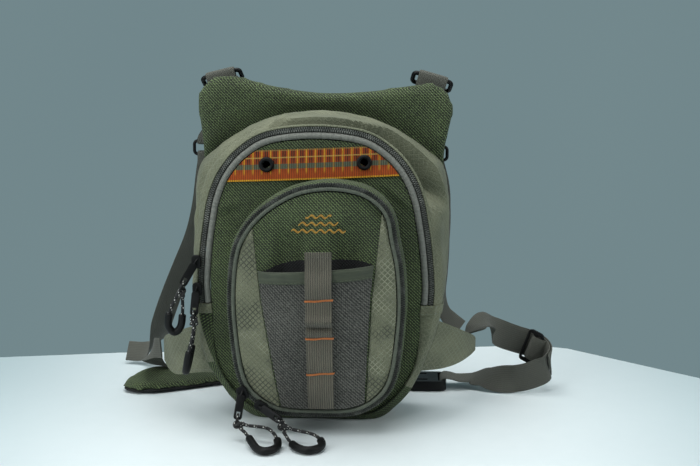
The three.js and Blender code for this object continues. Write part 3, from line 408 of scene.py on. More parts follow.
# Woven ribbon: bars on an orange ground, broken by a thin line and a teal stripe
def trimFinish():
    look = {
        "repeat": 7.3,
        "bar": 0.11,
        "ground": paint(184, 84, 32),
        "shade": paint(54, 32, 29),
        "yellow": paint(222, 164, 42),
        "cream": paint(222, 190, 100),
        "teal": paint(98, 112, 92),
        "edge": paint(156, 138, 78),
        "fine": 1.8,
        "pick": 0.9,
        "stripe": (9.3, 13.3),
        "line": (17.8, 18.9),
        "bottom": 1.3,
        "top": 23.6,
        "foot": 4.0,
    }
    made = Finish("trimRibbon", "trim_ribbon", Roughness=0.92, Specular_IOR_Level=0.2)
    across, along = made.cloth()
    reach = abs((across / look["repeat"]).fraction() - 0.5)
    bar = made.steps(reach, look["bar"] + 0.03, look["bar"] - 0.05)
    fine = across.wave(look["fine"]) * 0.5 + 0.5
    picks = along.wave(look["pick"]) * 0.5 + 0.5
    yarn = made.threads(across, along, 0.5, 0.8)
    inStripe = (along > look["stripe"][0]) * (along < look["stripe"][1])
    inLine = (along > look["line"][0]) * (along < look["line"][1])
    rise = made.steps(along, look["foot"], look["foot"] + 3.5)
    between = made.steps(reach, 0.18, 0.34) * made.steps(along, look["foot"], look["line"][0])
    ground = made.blend(between * (fine * 0.6 + 0.4), look["ground"], look["shade"])
    colour = made.blend(bar * rise * 0.8, ground, look["yellow"])
    teal = made.blend(bar * 0.35, made.blend(fine * 0.35, look["teal"], look["shade"]), look["yellow"])
    colour = made.blend(inStripe, colour, teal)
    colour = made.blend((along > look["top"]) * (fine * 0.5 + 0.4), colour, look["edge"])
    colour = made.blend(inLine * (fine * 0.6 + 0.4), colour, look["cream"])
    colour = made.blend((along < look["bottom"]) * 1.0, colour, look["yellow"])
    made.feed(Base_Color=made.blend(yarn * 0.4 + fine * 0.42, colour, look["shade"]))
    made.relief(fine * 0.7 + picks * 0.4 + bar * 0.4 + inLine, 0.0004)
    return made


def threadFinish(name, slot, dark, light):
    made = Finish(name, slot, Roughness=0.75, Sheen_Weight=0.1)
    strands = made.grain(1500, 1)
    made.feed(Base_Color=made.blend(strands, dark, light))
    made.feed(Roughness=strands * 0.2 + 0.6)
    made.relief(strands, 0.0002)
    return made


def mouldedFinish(name, slot, dark, light, gloss):
    made = Finish(name, slot, Roughness=gloss, Specular_IOR_Level=0.22)
    pebble = made.grain(1400, 2)
    scuff = made.grain(90, 3)
    made.feed(Base_Color=made.blend(made.steps(scuff, 0.4, 0.8), dark, light))
    made.feed(Roughness=scuff * 0.22 + (gloss - 0.1))
    made.relief(pebble, 0.00012)
    return made


def liningFinish():
    look = {"cell": 2.4, "dark": paint(5, 6, 6), "light": paint(24, 25, 26)}
    made = Finish("blackLining", "black_lining", Roughness=0.95)
    across, along = made.cloth()
    knit = across.wave(look["cell"]) * along.wave(look["cell"]) * 0.5 + 0.5
    yarn = made.grain(900, 2)
    made.feed(Base_Color=made.blend(knit * 0.6 + yarn * 0.4, look["dark"], look["light"]))
    made.relief(knit + yarn * 0.4, 0.0006)
    return made


# Braided cord: slanted strands, with a pale fleck where the tracer yarn comes up
def braidFinish():
    look = {
        "strand": 1.6,
        "slant": 1.1,
        "fleck": 7.0,
        "dark": paint(7, 7, 8),
        "light": paint(36, 37, 38),
        "pale": paint(214, 214, 208),
    }
    made = Finish("braidedCord", "pull_cord", Roughness=0.7)
    across, along = made.cloth()
    rising = along + across * look["slant"]
    falling = along - across * look["slant"]
    braid = rising.wave(look["strand"]) * falling.wave(look["strand"]) * 0.5 + 0.5
    colour = made.blend(braid, look["dark"], look["light"])
    coil = (rising / look["fleck"]).fraction()
    cross = (falling / (look["fleck"] * 0.5)).fraction()
    fleck = (coil < 0.2) * (cross < 0.42)
    made.feed(Base_Color=made.blend(fleck, colour, look["pale"]))
    made.relief(braid, 0.0005)
    return made


olive = oliveFinish()
sage = sageFinish("sageRipstop", 5.4, 0.16, 0)
sageDiamonds = sageFinish("sageDiamonds", 4.6, 0.85, 1)
tape = tapeFinish()
binding = bindingFinish("greyBinding", paint(86, 88, 83), paint(130, 131, 123))
pocketBinding = bindingFinish("pocketBinding", paint(52, 58, 48), paint(92, 98, 84))
hemBinding = bindingFinish("hemBinding", paint(26, 31, 21), paint(70, 77, 57), "olive_weave")
meshGrey = meshFinish()
webbing = webbingFinish("webbing", 0.45, paint(48, 48, 43), paint(97, 98, 89))
daisyWebbing = webbingFinish("daisyWebbing", 1.3, paint(17, 16, 12), paint(120, 115, 100))
trim = trimFinish()
lining = liningFinish()
braid = braidFinish()
coilDark = mouldedFinish("pocketCoil", "grey_tape", paint(34, 36, 34), paint(86, 88, 84), 0.5)
coilGrey = mouldedFinish("zipCoil", "grey_tape", paint(84, 86, 82), paint(122, 124, 118), 0.5)
black = mouldedFinish("blackPlastic", "black_plastic", paint(3, 3, 4), paint(14, 15, 15), 0.46)
rubber = mouldedFinish("gripRubber", "grip_rubber", paint(5, 6, 6), paint(18, 19, 20), 0.52)
tackThread = threadFinish("tackThread", "tack_thread", paint(148, 76, 34), paint(204, 124, 60))
ochreThread = threadFinish("ochreThread", "tack_thread", paint(138, 98, 26), paint(190, 146, 56))
sageThread = threadFinish("sageThread", "sage_cloth", paint(86, 92, 76), paint(126, 132, 112))
oliveThread = threadFinish("oliveThread", "olive_weave", paint(42, 50, 34), paint(86, 94, 68))
brownThread = threadFinish("brownThread", "webbing", paint(58, 56, 50), paint(102, 100, 90))
print("finishes made")

# Meshes


def addPiece(name, points, faces, finish, maps, sharp, node):
    mesh = bpy.data.meshes.new(name)
    mesh.from_pydata((np.asarray(points) * 0.001).tolist(), [], faces)
    layer = mesh.uv_layers.new(name="clothMap")
    layer.uv.foreach_set("vector", np.asarray(maps, np.float32).ravel())
    mesh.shade_smooth()
    mesh.set_sharp_from_angle(angle=math.radians(sharp))
    return dress(bpy.data.objects.new(name, mesh), finish, node)


def dress(piece, finish, node=None):
    if piece.name not in scene.collection.objects:
        scene.collection.objects.link(piece)
    piece.data.materials.clear()
    piece.data.materials.append(finish.material)
    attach(piece, "root")
    if node:
        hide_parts(node)
    return piece


# A closed body, with its faces turned outward
def closedPiece(name, points, faces, corners, finish, sharp, node):
    fans = [(face[0], b, c) for face in faces for b, c in zip(face[1:], face[2:])]
    first, second, third = (points[[fan[k] for fan in fans]] for k in (0, 1, 2))
    if np.einsum("ij,ij->", first, np.cross(second, third)) < 0:
        faces = [face[::-1] for face in faces]
        corners = [spots[::-1] for spots in corners]
    maps = [spot for spots in corners for spot in spots]
    return addPiece(name, points, faces, finish, maps, sharp, node)


# A closed cloth wall between two grids; maps gives millimetres along the cloth, with one more
# column than the grid where it wraps round
def clothShell(name, outer, inner, maps, finish, wrapped=False, node=None):
    rows, columns = outer.shape[:2]
    points = np.concatenate([outer.reshape(-1, 3), inner.reshape(-1, 3)])
    faces, corners = [], []

    def face(*spots):
        faces.append([side * rows * columns + r * columns + c % columns for side, r, c in spots])
        corners.append([maps[r, c] for side, r, c in spots])

    last, edge = rows - 1, columns - 1
    for c in range(columns if wrapped else edge):
        for r in range(last):
            face((0, r, c), (0, r + 1, c), (0, r + 1, c + 1), (0, r, c + 1))
            face((1, r, c), (1, r, c + 1), (1, r + 1, c + 1), (1, r + 1, c))
        face((0, 0, c), (0, 0, c + 1), (1, 0, c + 1), (1, 0, c))
        face((0, last, c + 1), (0, last, c), (1, last, c), (1, last, c + 1))
    if not wrapped:
        for r in range(last):
            face((0, r + 1, 0), (0, r, 0), (1, r, 0), (1, r + 1, 0))
            face((0, r, edge), (0, r + 1, edge), (1, r + 1, edge), (1, r, edge))
    return closedPiece(name, points, faces, corners, finish, 45, node)


# A body through rings of points; closed rings run into each other, open ones get flat ends
def loftPiece(name, rings, alongs, acrosses, finish, closed=False, sharp=45, node=None):
    count, size = rings.shape[:2]
    points = rings.reshape(-1, 3)
    faces, corners = [], []
    alongs = np.append(alongs, alongs[-1] + np.linalg.norm(rings[-1, 0] - rings[0, 0]))
    acrosses = np.append(acrosses, 2 * acrosses[-1] - acrosses[-2])
    for i in range(count if closed else count - 1):
        j = (i + 1) % count
        for k in range(size):
            m = (k + 1) % size
            faces.append([i * size + k, j * size + k, j * size + m, i * size + m])
            spots = ((k, i), (k, i + 1), (k + 1, i + 1), (k + 1, i))
            corners.append([(acrosses[a], alongs[b]) for a, b in spots])
    if not closed:
        first = list(range(size))
        last = [(count - 1) * size + k for k in reversed(range(size))]
        faces += [first, last]
        corners += [[(acrosses[k % size], alongs[k // size]) for k in end] for end in (first, last)]
    return closedPiece(name, points, faces, corners, finish, sharp, node)


# Frames along a run that turn as little as possible
def carriedFrames(path):
    run = unit(np.gradient(path, axis=0))
    side = np.cross(run[0], (0.0, 0.0, 1.0))
    if np.linalg.norm(side) < 0.2:
        side = np.cross(run[0], (0.0, 1.0, 0.0))
    sides = []
    for step in run:
        side = unit(side - step * side.dot(step))
        sides.append(side)
    sides = np.array(sides)
    return sides, np.cross(run, sides)


def tubePiece(name, path, radii, finish, sides=12, closed=False, node=None):
    first, second = carriedFrames(path)
    turn = fullTurn(sides)
    spread = np.cos(turn)[None, :, None] * first[:, None] + np.sin(turn)[None, :, None] * second[:, None]
    radii = np.broadcast_to(radii, len(path))
    rings = path[:, None] + spread * radii[:, None, None]
    acrosses = turn * radii.max()
    return loftPiece(name, rings, runLengths(path), acrosses, finish, closed, sharp=60, node=node)


# Many small rounded bars in one mesh, for stitches and zip coils
def bars(name, places, alongs, outs, size, finish, node=None):
    sides, stations = 6, ((-1.0, 0.45), (-0.8, 0.9), (0.0, 1.0), (0.8, 0.9), (1.0, 0.45))
    length, width, height = size
    alongs = unit(alongs)
    outs = unit(outs - alongs * np.sum(outs * alongs, 1, keepdims=True))
    acrosses = np.cross(alongs, outs)
    turn = fullTurn(sides)
    points, faces = [], []
    for place, along, out, across in zip(places, alongs, outs, acrosses):
        start = len(points)
        for share, swell in stations:
            for angle in turn:
                offset = across * math.cos(angle) * width + out * math.sin(angle) * height
                points.append(place + along * share * length / 2 + offset * swell / 2)
        for s in range(len(stations) - 1):
            for k in range(sides):
                a, b = start + s * sides + k, start + s * sides + (k + 1) % sides
                faces.append([a, b, b + sides, a + sides])
        faces.append([start + k for k in reversed(range(sides))])
        faces.append([start + (len(stations) - 1) * sides + k for k in range(sides)])
    corners = sum(len(face) for face in faces)
    return addPiece(name, points, faces, finish, np.zeros((corners, 2)), 70, node)


def facingFront(count):
    return np.tile((0.0, -1.0, 0.0), (count, 1))


# A row of stitches on a line; outs points away from the cloth
def stitchRow(name, line, outs, finish):
    stitch = {"length": 2.4, "gap": 1.0, "thick": 0.55, "reach": 0.4}
    run = runLengths(line)
    count = max(2, int(run[-1] / (stitch["length"] + stitch["gap"])))
    at = (np.arange(count) + 0.5) * run[-1] / count
    lead = pointsAt(line, run, at + stitch["reach"]) - pointsAt(line, run, at - stitch["reach"])
    size = (stitch["length"], stitch["thick"], stitch["thick"])
    return bars(name, pointsAt(line, run, at), lead, pointsAt(outs, run, at), size, finish)


# Webbing: rows of x, y, z and the direction of the width


def strapRun(rows, perRow):
    rows = np.array(rows, float)
    positions = np.linspace(0, len(rows) - 1, (len(rows) - 1) * perRow + 1)
    centre = routeThrough(rows[:, :3], positions)
    run = unit(np.gradient(centre, axis=0))
    index = np.minimum(positions.astype(int), len(rows) - 2)
    share = (positions - index)[:, None]
    wide = lerp(rows[index, 3:], rows[index + 1, 3:], share)
    wide = unit(wide - run * np.sum(wide * run, 1, keepdims=True))
    return centre, wide, np.cross(run, wide)


def webbingPiece(name, rows, width, node, perRow=6, finish=None):
    wall = pack["webbingWall"]
    centre, wide, out = strapRun(rows, perRow)
    share = np.linspace(-1, 1, 13)
    swell = 1 - 0.55 * np.abs(share) ** 10  # thinner at both edges
    section = [*zip(share, swell), *zip(share[::-1], -swell[::-1])]
    rings = np.stack([centre + wide * (a * width / 2) + out * (t * wall / 2) for a, t in section], 1)
    acrosses = np.array([a * width / 2 for a, t in section])
    run = runLengths(centre)
    piece = loftPiece(name, rings, run, acrosses, finish or webbing, sharp=50, node=node)
    return centre, wide, out


# Webbing half way round a bar
def turnRows(bar, radius, side, over, wide):
    angles = np.pi * np.arange(5) / 4
    return [[*(bar + side * math.cos(a) * radius + over * math.sin(a) * radius), *wide] for a in angles]


# Camera at the photo's angle, a pale table, a blue-grey wall and soft light


def stagePiece(name, points, finish):
    mesh = bpy.data.meshes.new(name)
    mesh.from_pydata(points, [], [list(range(len(points)))])
    mesh.materials.append(finish.material)
    piece = bpy.data.objects.new(name, mesh)
    scene.collection.objects.link(piece)


def setStage():
    view = {
        "lens": 55.39,
        "place": (0.06911, -0.876587, 0.287723),
        "azimuth": 3.0,
        "elevation": 8.5,
        "ambient": 0.42,
        "lampTint": (0.97, 1.0, 1.0),
        "wall": paint(116, 137, 141),
        "wallShade": paint(108, 129, 135),
        "wallPlace": (2.4, 6.0, 4.0),  # how far back, half its width, half its height
        "tableColours": (paint(217, 225, 227), paint(222, 229, 231)),
        "tableShadedSides": paint(170, 187, 191),
        "tableMiddle": 0.02,
        "tableShadeFade": (0.12, 0.42),
        "tableHeight": -0.0004,
        "table": [  # its outline, with the back edge as it runs behind the pack
            (-2.2, -1.6), (2.2, -1.6), (2.2, -0.75), (0.62, -0.117), (0.35, 0.132), (0.24, 0.238),
            (0.205, 0.25), (0.012, 0.219), (-0.216, 0.199), (-0.344, 0.172), (-2.2, -0.22),
        ],
    }
    turn, tilt = math.radians(view["azimuth"]), math.radians(view["elevation"])
    looking = Vector((-math.sin(turn) * math.cos(tilt), math.cos(turn) * math.cos(tilt), -math.sin(tilt)))
    camera = bpy.data.objects.new("camera", bpy.data.cameras.new("camera"))
    camera.data.lens = view["lens"]
    camera.data.sensor_width = 36.0
    camera.data.clip_start = 0.01
    camera.location = view["place"]
    camera.rotation_euler = looking.to_track_quat("-Z", "Y").to_euler()
    scene.collection.objects.link(camera)
    scene.camera = camera

    white = Finish("tableWhite", None, Roughness=0.34, Specular_IOR_Level=0.35)
    middle = white.blend(white.grain(60, 3), *view["tableColours"])
    x = white.node("ShaderNodeSeparateXYZ", {}, {0: white.place()})
    # Painted falloff of light: the table darkens away from its middle
    aside = white.steps(abs(x - view["tableMiddle"]), *view["tableShadeFade"])
    white.feed(Base_Color=white.blend(aside, middle, view["tableShadedSides"]))
    stagePiece("table", [(x, y, view["tableHeight"]) for x, y in view["table"]], white)

    blue = Finish("wallBlue", None, Roughness=1.0, Specular_IOR_Level=0.0, Emission_Strength=1.0)
    blue.shader.inputs["Base Color"].default_value = (0.0, 0.0, 0.0, 1.0)
    blue.feed(Emission_Color=blue.blend(blue.grain(1.2, 1) * 0.5, view["wall"], view["wallShade"]))
    far, wide, tall = view["wallPlace"]
    corners = [(-wide, -tall), (wide, -tall), (wide, tall), (-wide, tall)]
    stagePiece("wall", [(x, far, z) for x, z in corners], blue)

    world = bpy.data.worlds.new("studio")
    world.use_nodes = True
    background = world.node_tree.nodes["Background"]
    background.inputs["Color"].default_value = view["wall"]
    background.inputs["Strength"].default_value = view["ambient"]
    scene.world = world
    scene.view_settings.view_transform = "Standard"

    lamps = [  # name, place, aim, size and power
        ("ceilingLight", (-0.1, 0.0, 1.5), (0, 0, 0.1), 1.3, 25),
        ("frontLight", (-1.15, -1.0, 0.85), (-0.05, 0.05, 0.15), 1.2, 17),
        ("sideLight", (1.3, -0.5, 0.8), (0, 0, 0.15), 0.9, 8),
    ]
    for name, place, aim, size, power in lamps:
        light = bpy.data.lights.new(name, "AREA")
        light.size = size
        light.energy = power
        light.color = view["lampTint"]
        holder = bpy.data.objects.new(name, light)
        holder.location = place
        holder.rotation_euler = (Vector(aim) - holder.location).to_track_quat("-Z", "Y").to_euler()
        scene.collection.objects.link(holder)


setStage()
print("stage set")

# Zip pulls: a slider, a tab, and a knotted cord loop through a rubber grip

pulls = {
    "cordPoints": 90,
    "grip": 3.1,
    "gripPoints": 50,
    "eye": (3.4, 2.6),
    "eyeCord": 1.0,
    "bridge": 0.9,
    "rows": [  # share is the part of the cord inside the grip
        {
            "slider": (-102.2, -14.6, 134),
            "tabFrom": (-103, -18, 133),
            "tabTo": (-113, -22, 115.4),
            "share": (0.3, 0.8),
            "lay": "hanging",
            "loop": [
                (-114.4, -22.8, 112.2), (-117.4, -23.8, 106), (-121.8, -24, 97.5), (-124.8, -22.6, 87.5),
                (-124.8, -20.4, 79.8), (-120.6, -18.8, 75.4), (-116, -18.6, 79.6), (-113.6, -19.4, 92),
                (-113.2, -20.2, 105.6),
            ],
        },
        {
            "slider": (-101.8, -14.6, 111),
            "tabFrom": (-102.4, -18, 110),
            "tabTo": (-104.2, -20.4, 90),
            "share": (0.3, 0.78),
            "lay": "hanging",
            "loop": [
                (-104.4, -21.6, 87.4), (-103.8, -25.4, 79), (-106.3, -27.5, 65), (-109.3, -26.5, 51),
                (-111.6, -21, 43), (-111, -15, 47), (-108.3, -13.4, 60), (-105.4, -15.4, 74),
                (-104, -18.6, 83.4),
            ],
        },
        {
            "slider": (-59.8, -52.6, 35),
            "tabFrom": (-60.3, -56.2, 34.5),
            "tabTo": (-62.6, -63.6, 16.6),
            "share": (0.36, 0.86),
            "lay": "loose",
            "loop": [
                (-60.6, -66.2, 14.6), (-53.6, -67, 12.9), (-45.4, -68.6, 12.7), (-37.6, -69.6, 11.6),
                (-32.4, -73, 8.6), (-28.9, -79, 4.9), (-28.2, -85.5, 3.3), (-30, -92.6, 3.3),
                (-36, -97.6, 3.3), (-42.4, -93.6, 3.3), (-48.1, -84.5, 5.2), (-52.9, -75.6, 7.8),
                (-57.2, -70.2, 9.8), (-60.4, -67.6, 11.2),
            ],
        },
        {
            "slider": (-45, -52.6, 24.3),
            "tabFrom": (-44, -56.2, 24),
            "tabTo": (-28, -65.2, 16.8),
            "share": (0.36, 0.85),
            "lay": "loose",
            "loop": [
                (-25.4, -66.6, 14.4), (-19.6, -68, 11.2), (-12.3, -69.5, 10), (-4.5, -70, 8.5), (1.3, -73, 7),
                (5.2, -78, 4.4), (5.4, -84, 3.3), (2.8, -90, 3.3), (-4, -94, 3.3), (-12, -89.2, 3.3),
                (-18.3, -79.8, 3.8), (-22, -74, 6), (-25.2, -70.2, 9.2),
            ],
        },
    ],
}


# A copy of a hard solid with its edges rounded
def softened(node, name, finish, bevel):
    rounding = {"segments": 3, "profile": 0.6, "affect": "EDGES", "clamp_overlap": True}
    join, flat, corner = 2e-5, 0.02, 0.9  # metres, then angles in radians
    mesh = bpy.data.meshes.new(name)
    work = bmesh.new()
    work.from_mesh(nodes[node].data)
    bmesh.ops.remove_doubles(work, verts=work.verts, dist=join)
    bmesh.ops.dissolve_limit(work, angle_limit=flat, verts=work.verts, edges=work.edges)
    sharp = [edge for edge in work.edges if edge.is_manifold and edge.calc_face_angle(0) > corner]
    bmesh.ops.bevel(work, geom=sharp, offset=bevel * 0.001, **rounding)
    work.to_mesh(mesh)
    work.free()
    mesh.uv_layers.new(name="clothMap")
    mesh.shade_smooth()
    mesh.set_sharp_from_angle(angle=math.radians(40))
    return dress(bpy.data.objects.new(name, mesh), finish, node)


# A trefoil of cord, with its longest side along the lead
def makeKnot(name, centre, lead):
    size = (1.05, 1.3, 1.0)
    turn = fullTurn(96)
    trefoil = [
        np.sin(turn) + 2 * np.sin(2 * turn), np.cos(turn) - 2 * np.cos(2 * turn), -1.5 * np.sin(3 * turn),
    ]
    lead = unit(np.array(lead, float))
    side = unit(np.cross(lead, (0.3, 1.0, 0.2)))
    axes = (side, lead, np.cross(side, lead))
    path = np.array(centre) + sum(t[:, None] * axis * s for t, axis, s in zip(trefoil, axes, size))
    return tubePiece(name, path, pack["cordRadius"], braid, sides=10, closed=True)


# The rubber sleeve over part of the cord, with rounded ends
def makeGrip(number, sleeve):
    count, full = pulls["gripPoints"], pulls["grip"]
    radii = np.full(count, full)
    radii[[0, -1]] = pack["cordRadius"] + 0.3
    radii[[1, -2]] = full - 0.55
    radii[[2, -3]] = full - 0.12
    stations = np.concatenate([[0, 0.0006, 0.012], np.linspace(0.035, 0.965, count - 6), [0.988, 0.9994, 1]])
    path = pointsAt(evenly(sleeve, count), np.linspace(0, 1, count), stations)
    return tubePiece(f"pullGrip{number}", path, radii, rubber, sides=18, node=f"pull_grip_{number}")


def makePull(number, row):
    last = pulls["cordPoints"] - 1
    loop = evenly(smoothRun(row["loop"], 10), pulls["cordPoints"])
    cord = tubePiece(f"pullCord{number}", loop, pack["cordRadius"], braid, node=f"pull_cord_{number}")
    low, high = (int(share * last) for share in row["share"])
    grip = makeGrip(number, loop[low : high + 1])
    knot = makeKnot(f"pullKnot{number}", lerp(loop[0], loop[-1], 0.5), loop[6] - loop[0])
    slider, tabFrom, tabTo = (np.array(row[key], float) for key in ("slider", "tabFrom", "tabTo"))
    down = unit(tabTo - tabFrom)
    face = unit(np.cross(down, np.cross((0.0, -1.0, 0.0), down)))
    turn = fullTurn(40)[:, None]
    tall, deep = pulls["eye"]
    ring = tabTo - down * 0.6 + down * np.cos(turn) * tall + face * np.sin(turn) * deep
    eye = tubePiece(f"pullEye{number}", ring, pulls["eyeCord"], braid, sides=10, closed=True)
    softened(f"slider_{number}", f"zipSlider{number}", black, 0.8)
    softened(f"puller_{number}", f"zipTab{number}", black, 0.6)
    front = slider + (0, -2.6, 0)
    knots = [slider - down * 3.5, front - down * 2, tabFrom + (0, -0.8, 0), front + down * 2]
    bridge = routeThrough(knots, np.linspace(0, 3, 24))
    tubePiece(f"zipBridge{number}", bridge, pulls["bridge"], black, sides=10)


for number, row in enumerate(pulls["rows"], 1):
    makePull(number, row)
print("zip pulls made")

# Outlines of the seam, the main zip and the pocket, from the bottom centre up the right side

seamRows = [
    (0, 0), (46, 0), (68, 14), (85, 44), (98, 82), (105, 128),
    (105, 180), (100.5, 209), (87, 222.5), (68, 235.5), (38, 248.5), (0, 254),
]
zipRows = [
    (0, 4), (42, 4), (66, 19), (83, 44), (94.5, 76), (99, 108), (97.5, 138),
    (94, 165), (89.5, 188), (80.5, 209), (64.5, 228), (40, 242), (0, 246.5),
]
pocketRows = [
    (0, 15), (32, 17), (54, 30), (64.4, 50), (69.4, 88), (70.2, 115),
    (67.8, 142), (62, 163), (54.5, 178), (42, 190.3), (24, 199.6), (0, 203),
]
loopCount = 480
seamLoop = closedOutline(mirroredRows(seamRows), loopCount)
zipLoop = closedOutline(mirroredRows(zipRows), loopCount)
pocketLoop = closedOutline(mirroredRows(pocketRows), 400)
pocketLoop[:, 0] += lerp(-1.2, 9.8, ease(pocketLoop[:, 1], 150, 205))  # its top slumps to the right


def flangeAt(height):
    full = pack["zipTape"] + pack["bindingWidth"] + 2 * pack["gap"]
    return lerp(pack["lowerFlange"], full, ease(height, pack["flangeFrom"], pack["zipEnd"]))


def insetLoop(loop, amount):
    distance = amount(loop[:, 1]) if callable(amount) else np.full(len(loop), amount)
    return loop + inwardOf(loop, True) * distance[:, None]


panelLoop = insetLoop(zipLoop, lambda height: flangeAt(height) + pack["gap"])


# How the panel and the pocket's face bulge: the rim's depth, then the place and size of the dome
domes = {
    "panel": {"rim": pack["zipDepth"] - 1, "proud": 9, "x": pack["lean"], "z": 125, "wide": 96, "tall": 118},
    "pocket": {"rim": pack["pocketDepth"] - 1, "proud": 11, "x": 0, "z": 105, "wide": 68, "tall": 95},
}


def domeFront(dome, x, z):
    fall = ((x - dome["x"]) / dome["wide"]) ** 2 + ((z - dome["z"]) / dome["tall"]) ** 2
    return dome["rim"] - dome["proud"] * (1 - fall)


def panelFront(x, z):
    return domeFront(domes["panel"], x, z)


def pocketFront(x, z):
    return domeFront(domes["pocket"], x, z)


# A grid between the left (-1) and right (1) edge at each height, with an optional rise over x
def strip(heights, edge, columns, rise=None):
    share = np.linspace(0, 1, columns)[None]
    heights = np.asarray(heights, float)[:, None]
    x = lerp(edge(heights, -1), edge(heights, 1), share)
    z = np.broadcast_to(heights, x.shape) + (rise(x, heights) if rise else 0)
    return x, z


def wallPiece(name, x, y, z, wall, finish, node, maps=None):
    outer = joined(x, y, z)
    inner = outer + (0, wall, 0)
    maps = joined(x, z) if maps is None else maps
    piece = clothShell(name, outer, inner, maps, finish, node=node)
    declareSheet(outer)
    return outer


def declareSheet(grid):
    length = max(runLengths(column)[-1] for column in grid.transpose(1, 0, 2))


# Main compartment


def makeGusset():
    cloth = {
        "rows": [  # depth, share of the way from the seam to the zip, bulge and lean
            (pack["seamDepth"], 0, 0, 0), (26, 0.1, 4, -3.5), (11, 0.38, 5.5, -6), (-5, 0.8, 4.6, -5.2),
            (pack["zipDepth"], 1, 0, pack["lean"]),
        ],
        "depthSteps": 9,
        "fullBulge": 5.5,
        "waves": 1.4,
        "puckers": 0.6,
        "rim": {"at": 25, "wide": 7, "height": 2.0, "heights": (150, 215), "fade": (33, 36)},
        # The cloth sinks behind the zip, from the right shoulder up to a slanted end over the middle,
        # and rolls forward over the groove
        "valley": {
            "start": (103, 176), "fade": 34, "end": (-46, -6), "slant": 0.6, "close": (-6, 2),
            "front": (-10, -5), "rear": 1.0, "widens": 13.0, "widening": (25, 62), "wall": 6.0,
            "depth": (13.0, 21.0), "over": 9.0, "overWide": 4.0,
        },
        "tuck": {"left": 5.0, "low": (82, 137), "high": (202, 242), "top": 4.2, "topHeights": (178, 222)},
        "groove": {"at": 1.0, "wide": 3.2, "depth": 3.4, "heights": (120, 160), "fade": 14},
        "lip": {"height": 3.4, "wide": 3.6, "beyond": 4, "front": (-9, 0), "rear": (10, 22)},
        "hollow": {"off": 6, "share": 0.6},  # the dent beside each crease
        "creases": [  # a point on the seam, a depth, which way the fold runs, its size
            {"at": (99, 190), "depth": -3, "slant": -0.5, "height": 3.0, "wide": 2.4, "long": 9},
            {"at": (102, 176), "depth": -2, "slant": -0.45, "height": 2.8, "wide": 2.4, "long": 9},
            {"at": (-98, 170), "depth": 8, "slant": 0.5, "height": 1.2, "wide": 5.0, "long": 16},
            {"at": (103, 130), "depth": 10, "slant": 0.4, "height": 1.0, "wide": 6.0, "long": 18},
        ],
    }
    rim, valley, tuck, groove, lip = (cloth[key] for key in ("rim", "valley", "tuck", "groove", "lip"))
    rows = smoothRun(cloth["rows"], cloth["depthSteps"])
    seamX, seamZ = seamLoop.T
    walk = runLengths(seamLoop)
    top = walk[loopCount // 2]
    foot = walk[np.hypot(*(seamLoop - valley["start"]).T).argmin()]
    opening = ease(walk, foot, foot + valley["fade"])
    rolled = ease(seamZ, *rim["heights"])
    tucked = tuck["left"] * ease(seamZ, *tuck["low"]) * (1 - ease(seamZ, *tuck["high"])) * (seamX < 0)
    tucked = np.maximum(tucked, tuck["top"] * ease(seamZ, *tuck["topHeights"]))
    widened = ease(seamX, *valley["widening"])
    rear = valley["rear"] + valley["widens"] * widened

    def foldsAt(loop, y):
        spots = atDepth(loop, y)
        fold = rumple(spots, 34.0, 2) * cloth["waves"]
        fold += rumple(spots * (1, 0.25, 1), 9.0, 5) * cloth["puckers"]
        for crease in cloth["creases"]:
            run = walk - walk[np.hypot(*(loop - crease["at"]).T).argmin()]
            off = (y - crease["depth"]) - crease["slant"] * run
            dent = cloth["hollow"]["share"] * bump(off, cloth["hollow"]["off"], crease["wide"])
            fold += crease["height"] * (bump(off, 0, crease["wide"]) - dent) * bump(run, 0, crease["long"])
        return fold

    sheets = []
    for wall in (0.0, pack["clothWall"]):
        grid = []
        for y, share, bulge, lean in rows:
            loop = lerp(seamLoop, zipLoop, share)
            inward = inwardOf(loop, True)
            swell = max(bulge, 0) / cloth["fullBulge"]
            back = (y - pack["zipDepth"]) / (pack["seamDepth"] - pack["zipDepth"])
            beyond = walk - (top - lerp(*valley["end"], back ** valley["slant"]))
            reach = opening * (1 - ease(beyond, *valley["close"]))
            sunk = reach * ease(y, *valley["front"]) * (1 - ease(y - rear, 0, valley["wall"]))
            raised = lip["height"] * bump(beyond, lip["beyond"], lip["wide"])
            raised = raised * ease(y, *lip["front"]) * (1 - ease(y, *lip["rear"]))
            roll = rolled * rim["height"] * bump(y, rim["at"], rim["wide"]) * (1 - ease(y, *rim["fade"]))
            leftArch = ease(beyond, 0, groove["fade"]) * ease(seamZ, *groove["heights"])
            gully = leftArch * groove["depth"] * bump(y, groove["at"], groove["wide"])
            out = bulge + (foldsAt(loop, y) - tucked) * swell + roll + raised - gully
            out = out - sunk * lerp(*valley["depth"], widened)
            depth = y - reach * valley["over"] * bump(y, rear + valley["wall"], valley["overWide"])
            x = loop[:, 0] + lean - inward[:, 0] * (out - wall)
            z = np.maximum(0, loop[:, 1] - inward[:, 1] * out) + inward[:, 1] * wall
            grid.append(joined(x, depth, z))
        sheets.append(np.array(grid))
    outer, inner = sheets
    steps = np.linalg.norm(np.diff(outer, axis=0), axis=2)
    depthMap = np.vstack([np.zeros(loopCount), np.cumsum(steps, 0)])
    based = np.flatnonzero(zipLoop[:, 1] < np.where(seamX > 0, pack["baseRight"], pack["baseLeft"]))
    first = based[based < loopCount // 2].max()
    last = based[based > loopCount // 2].min()
    body = np.arange(first, last + 1)
    base = np.arange(last, first + loopCount + 1) % loopCount
    pieces = [("gussetCloth", body, sage, "main_gusset"), ("gussetBase", base, olive, None)]
    for name, columns, finish, node in pieces:
        walked = runLengths(seamLoop[columns])[None]
        maps = joined(walked, depthMap[:, columns])
        piece = clothShell(name, outer[:, columns], inner[:, columns], maps, finish, node=node)
        declareSheet(outer[:, columns])
    return outer


gusset = makeGusset()


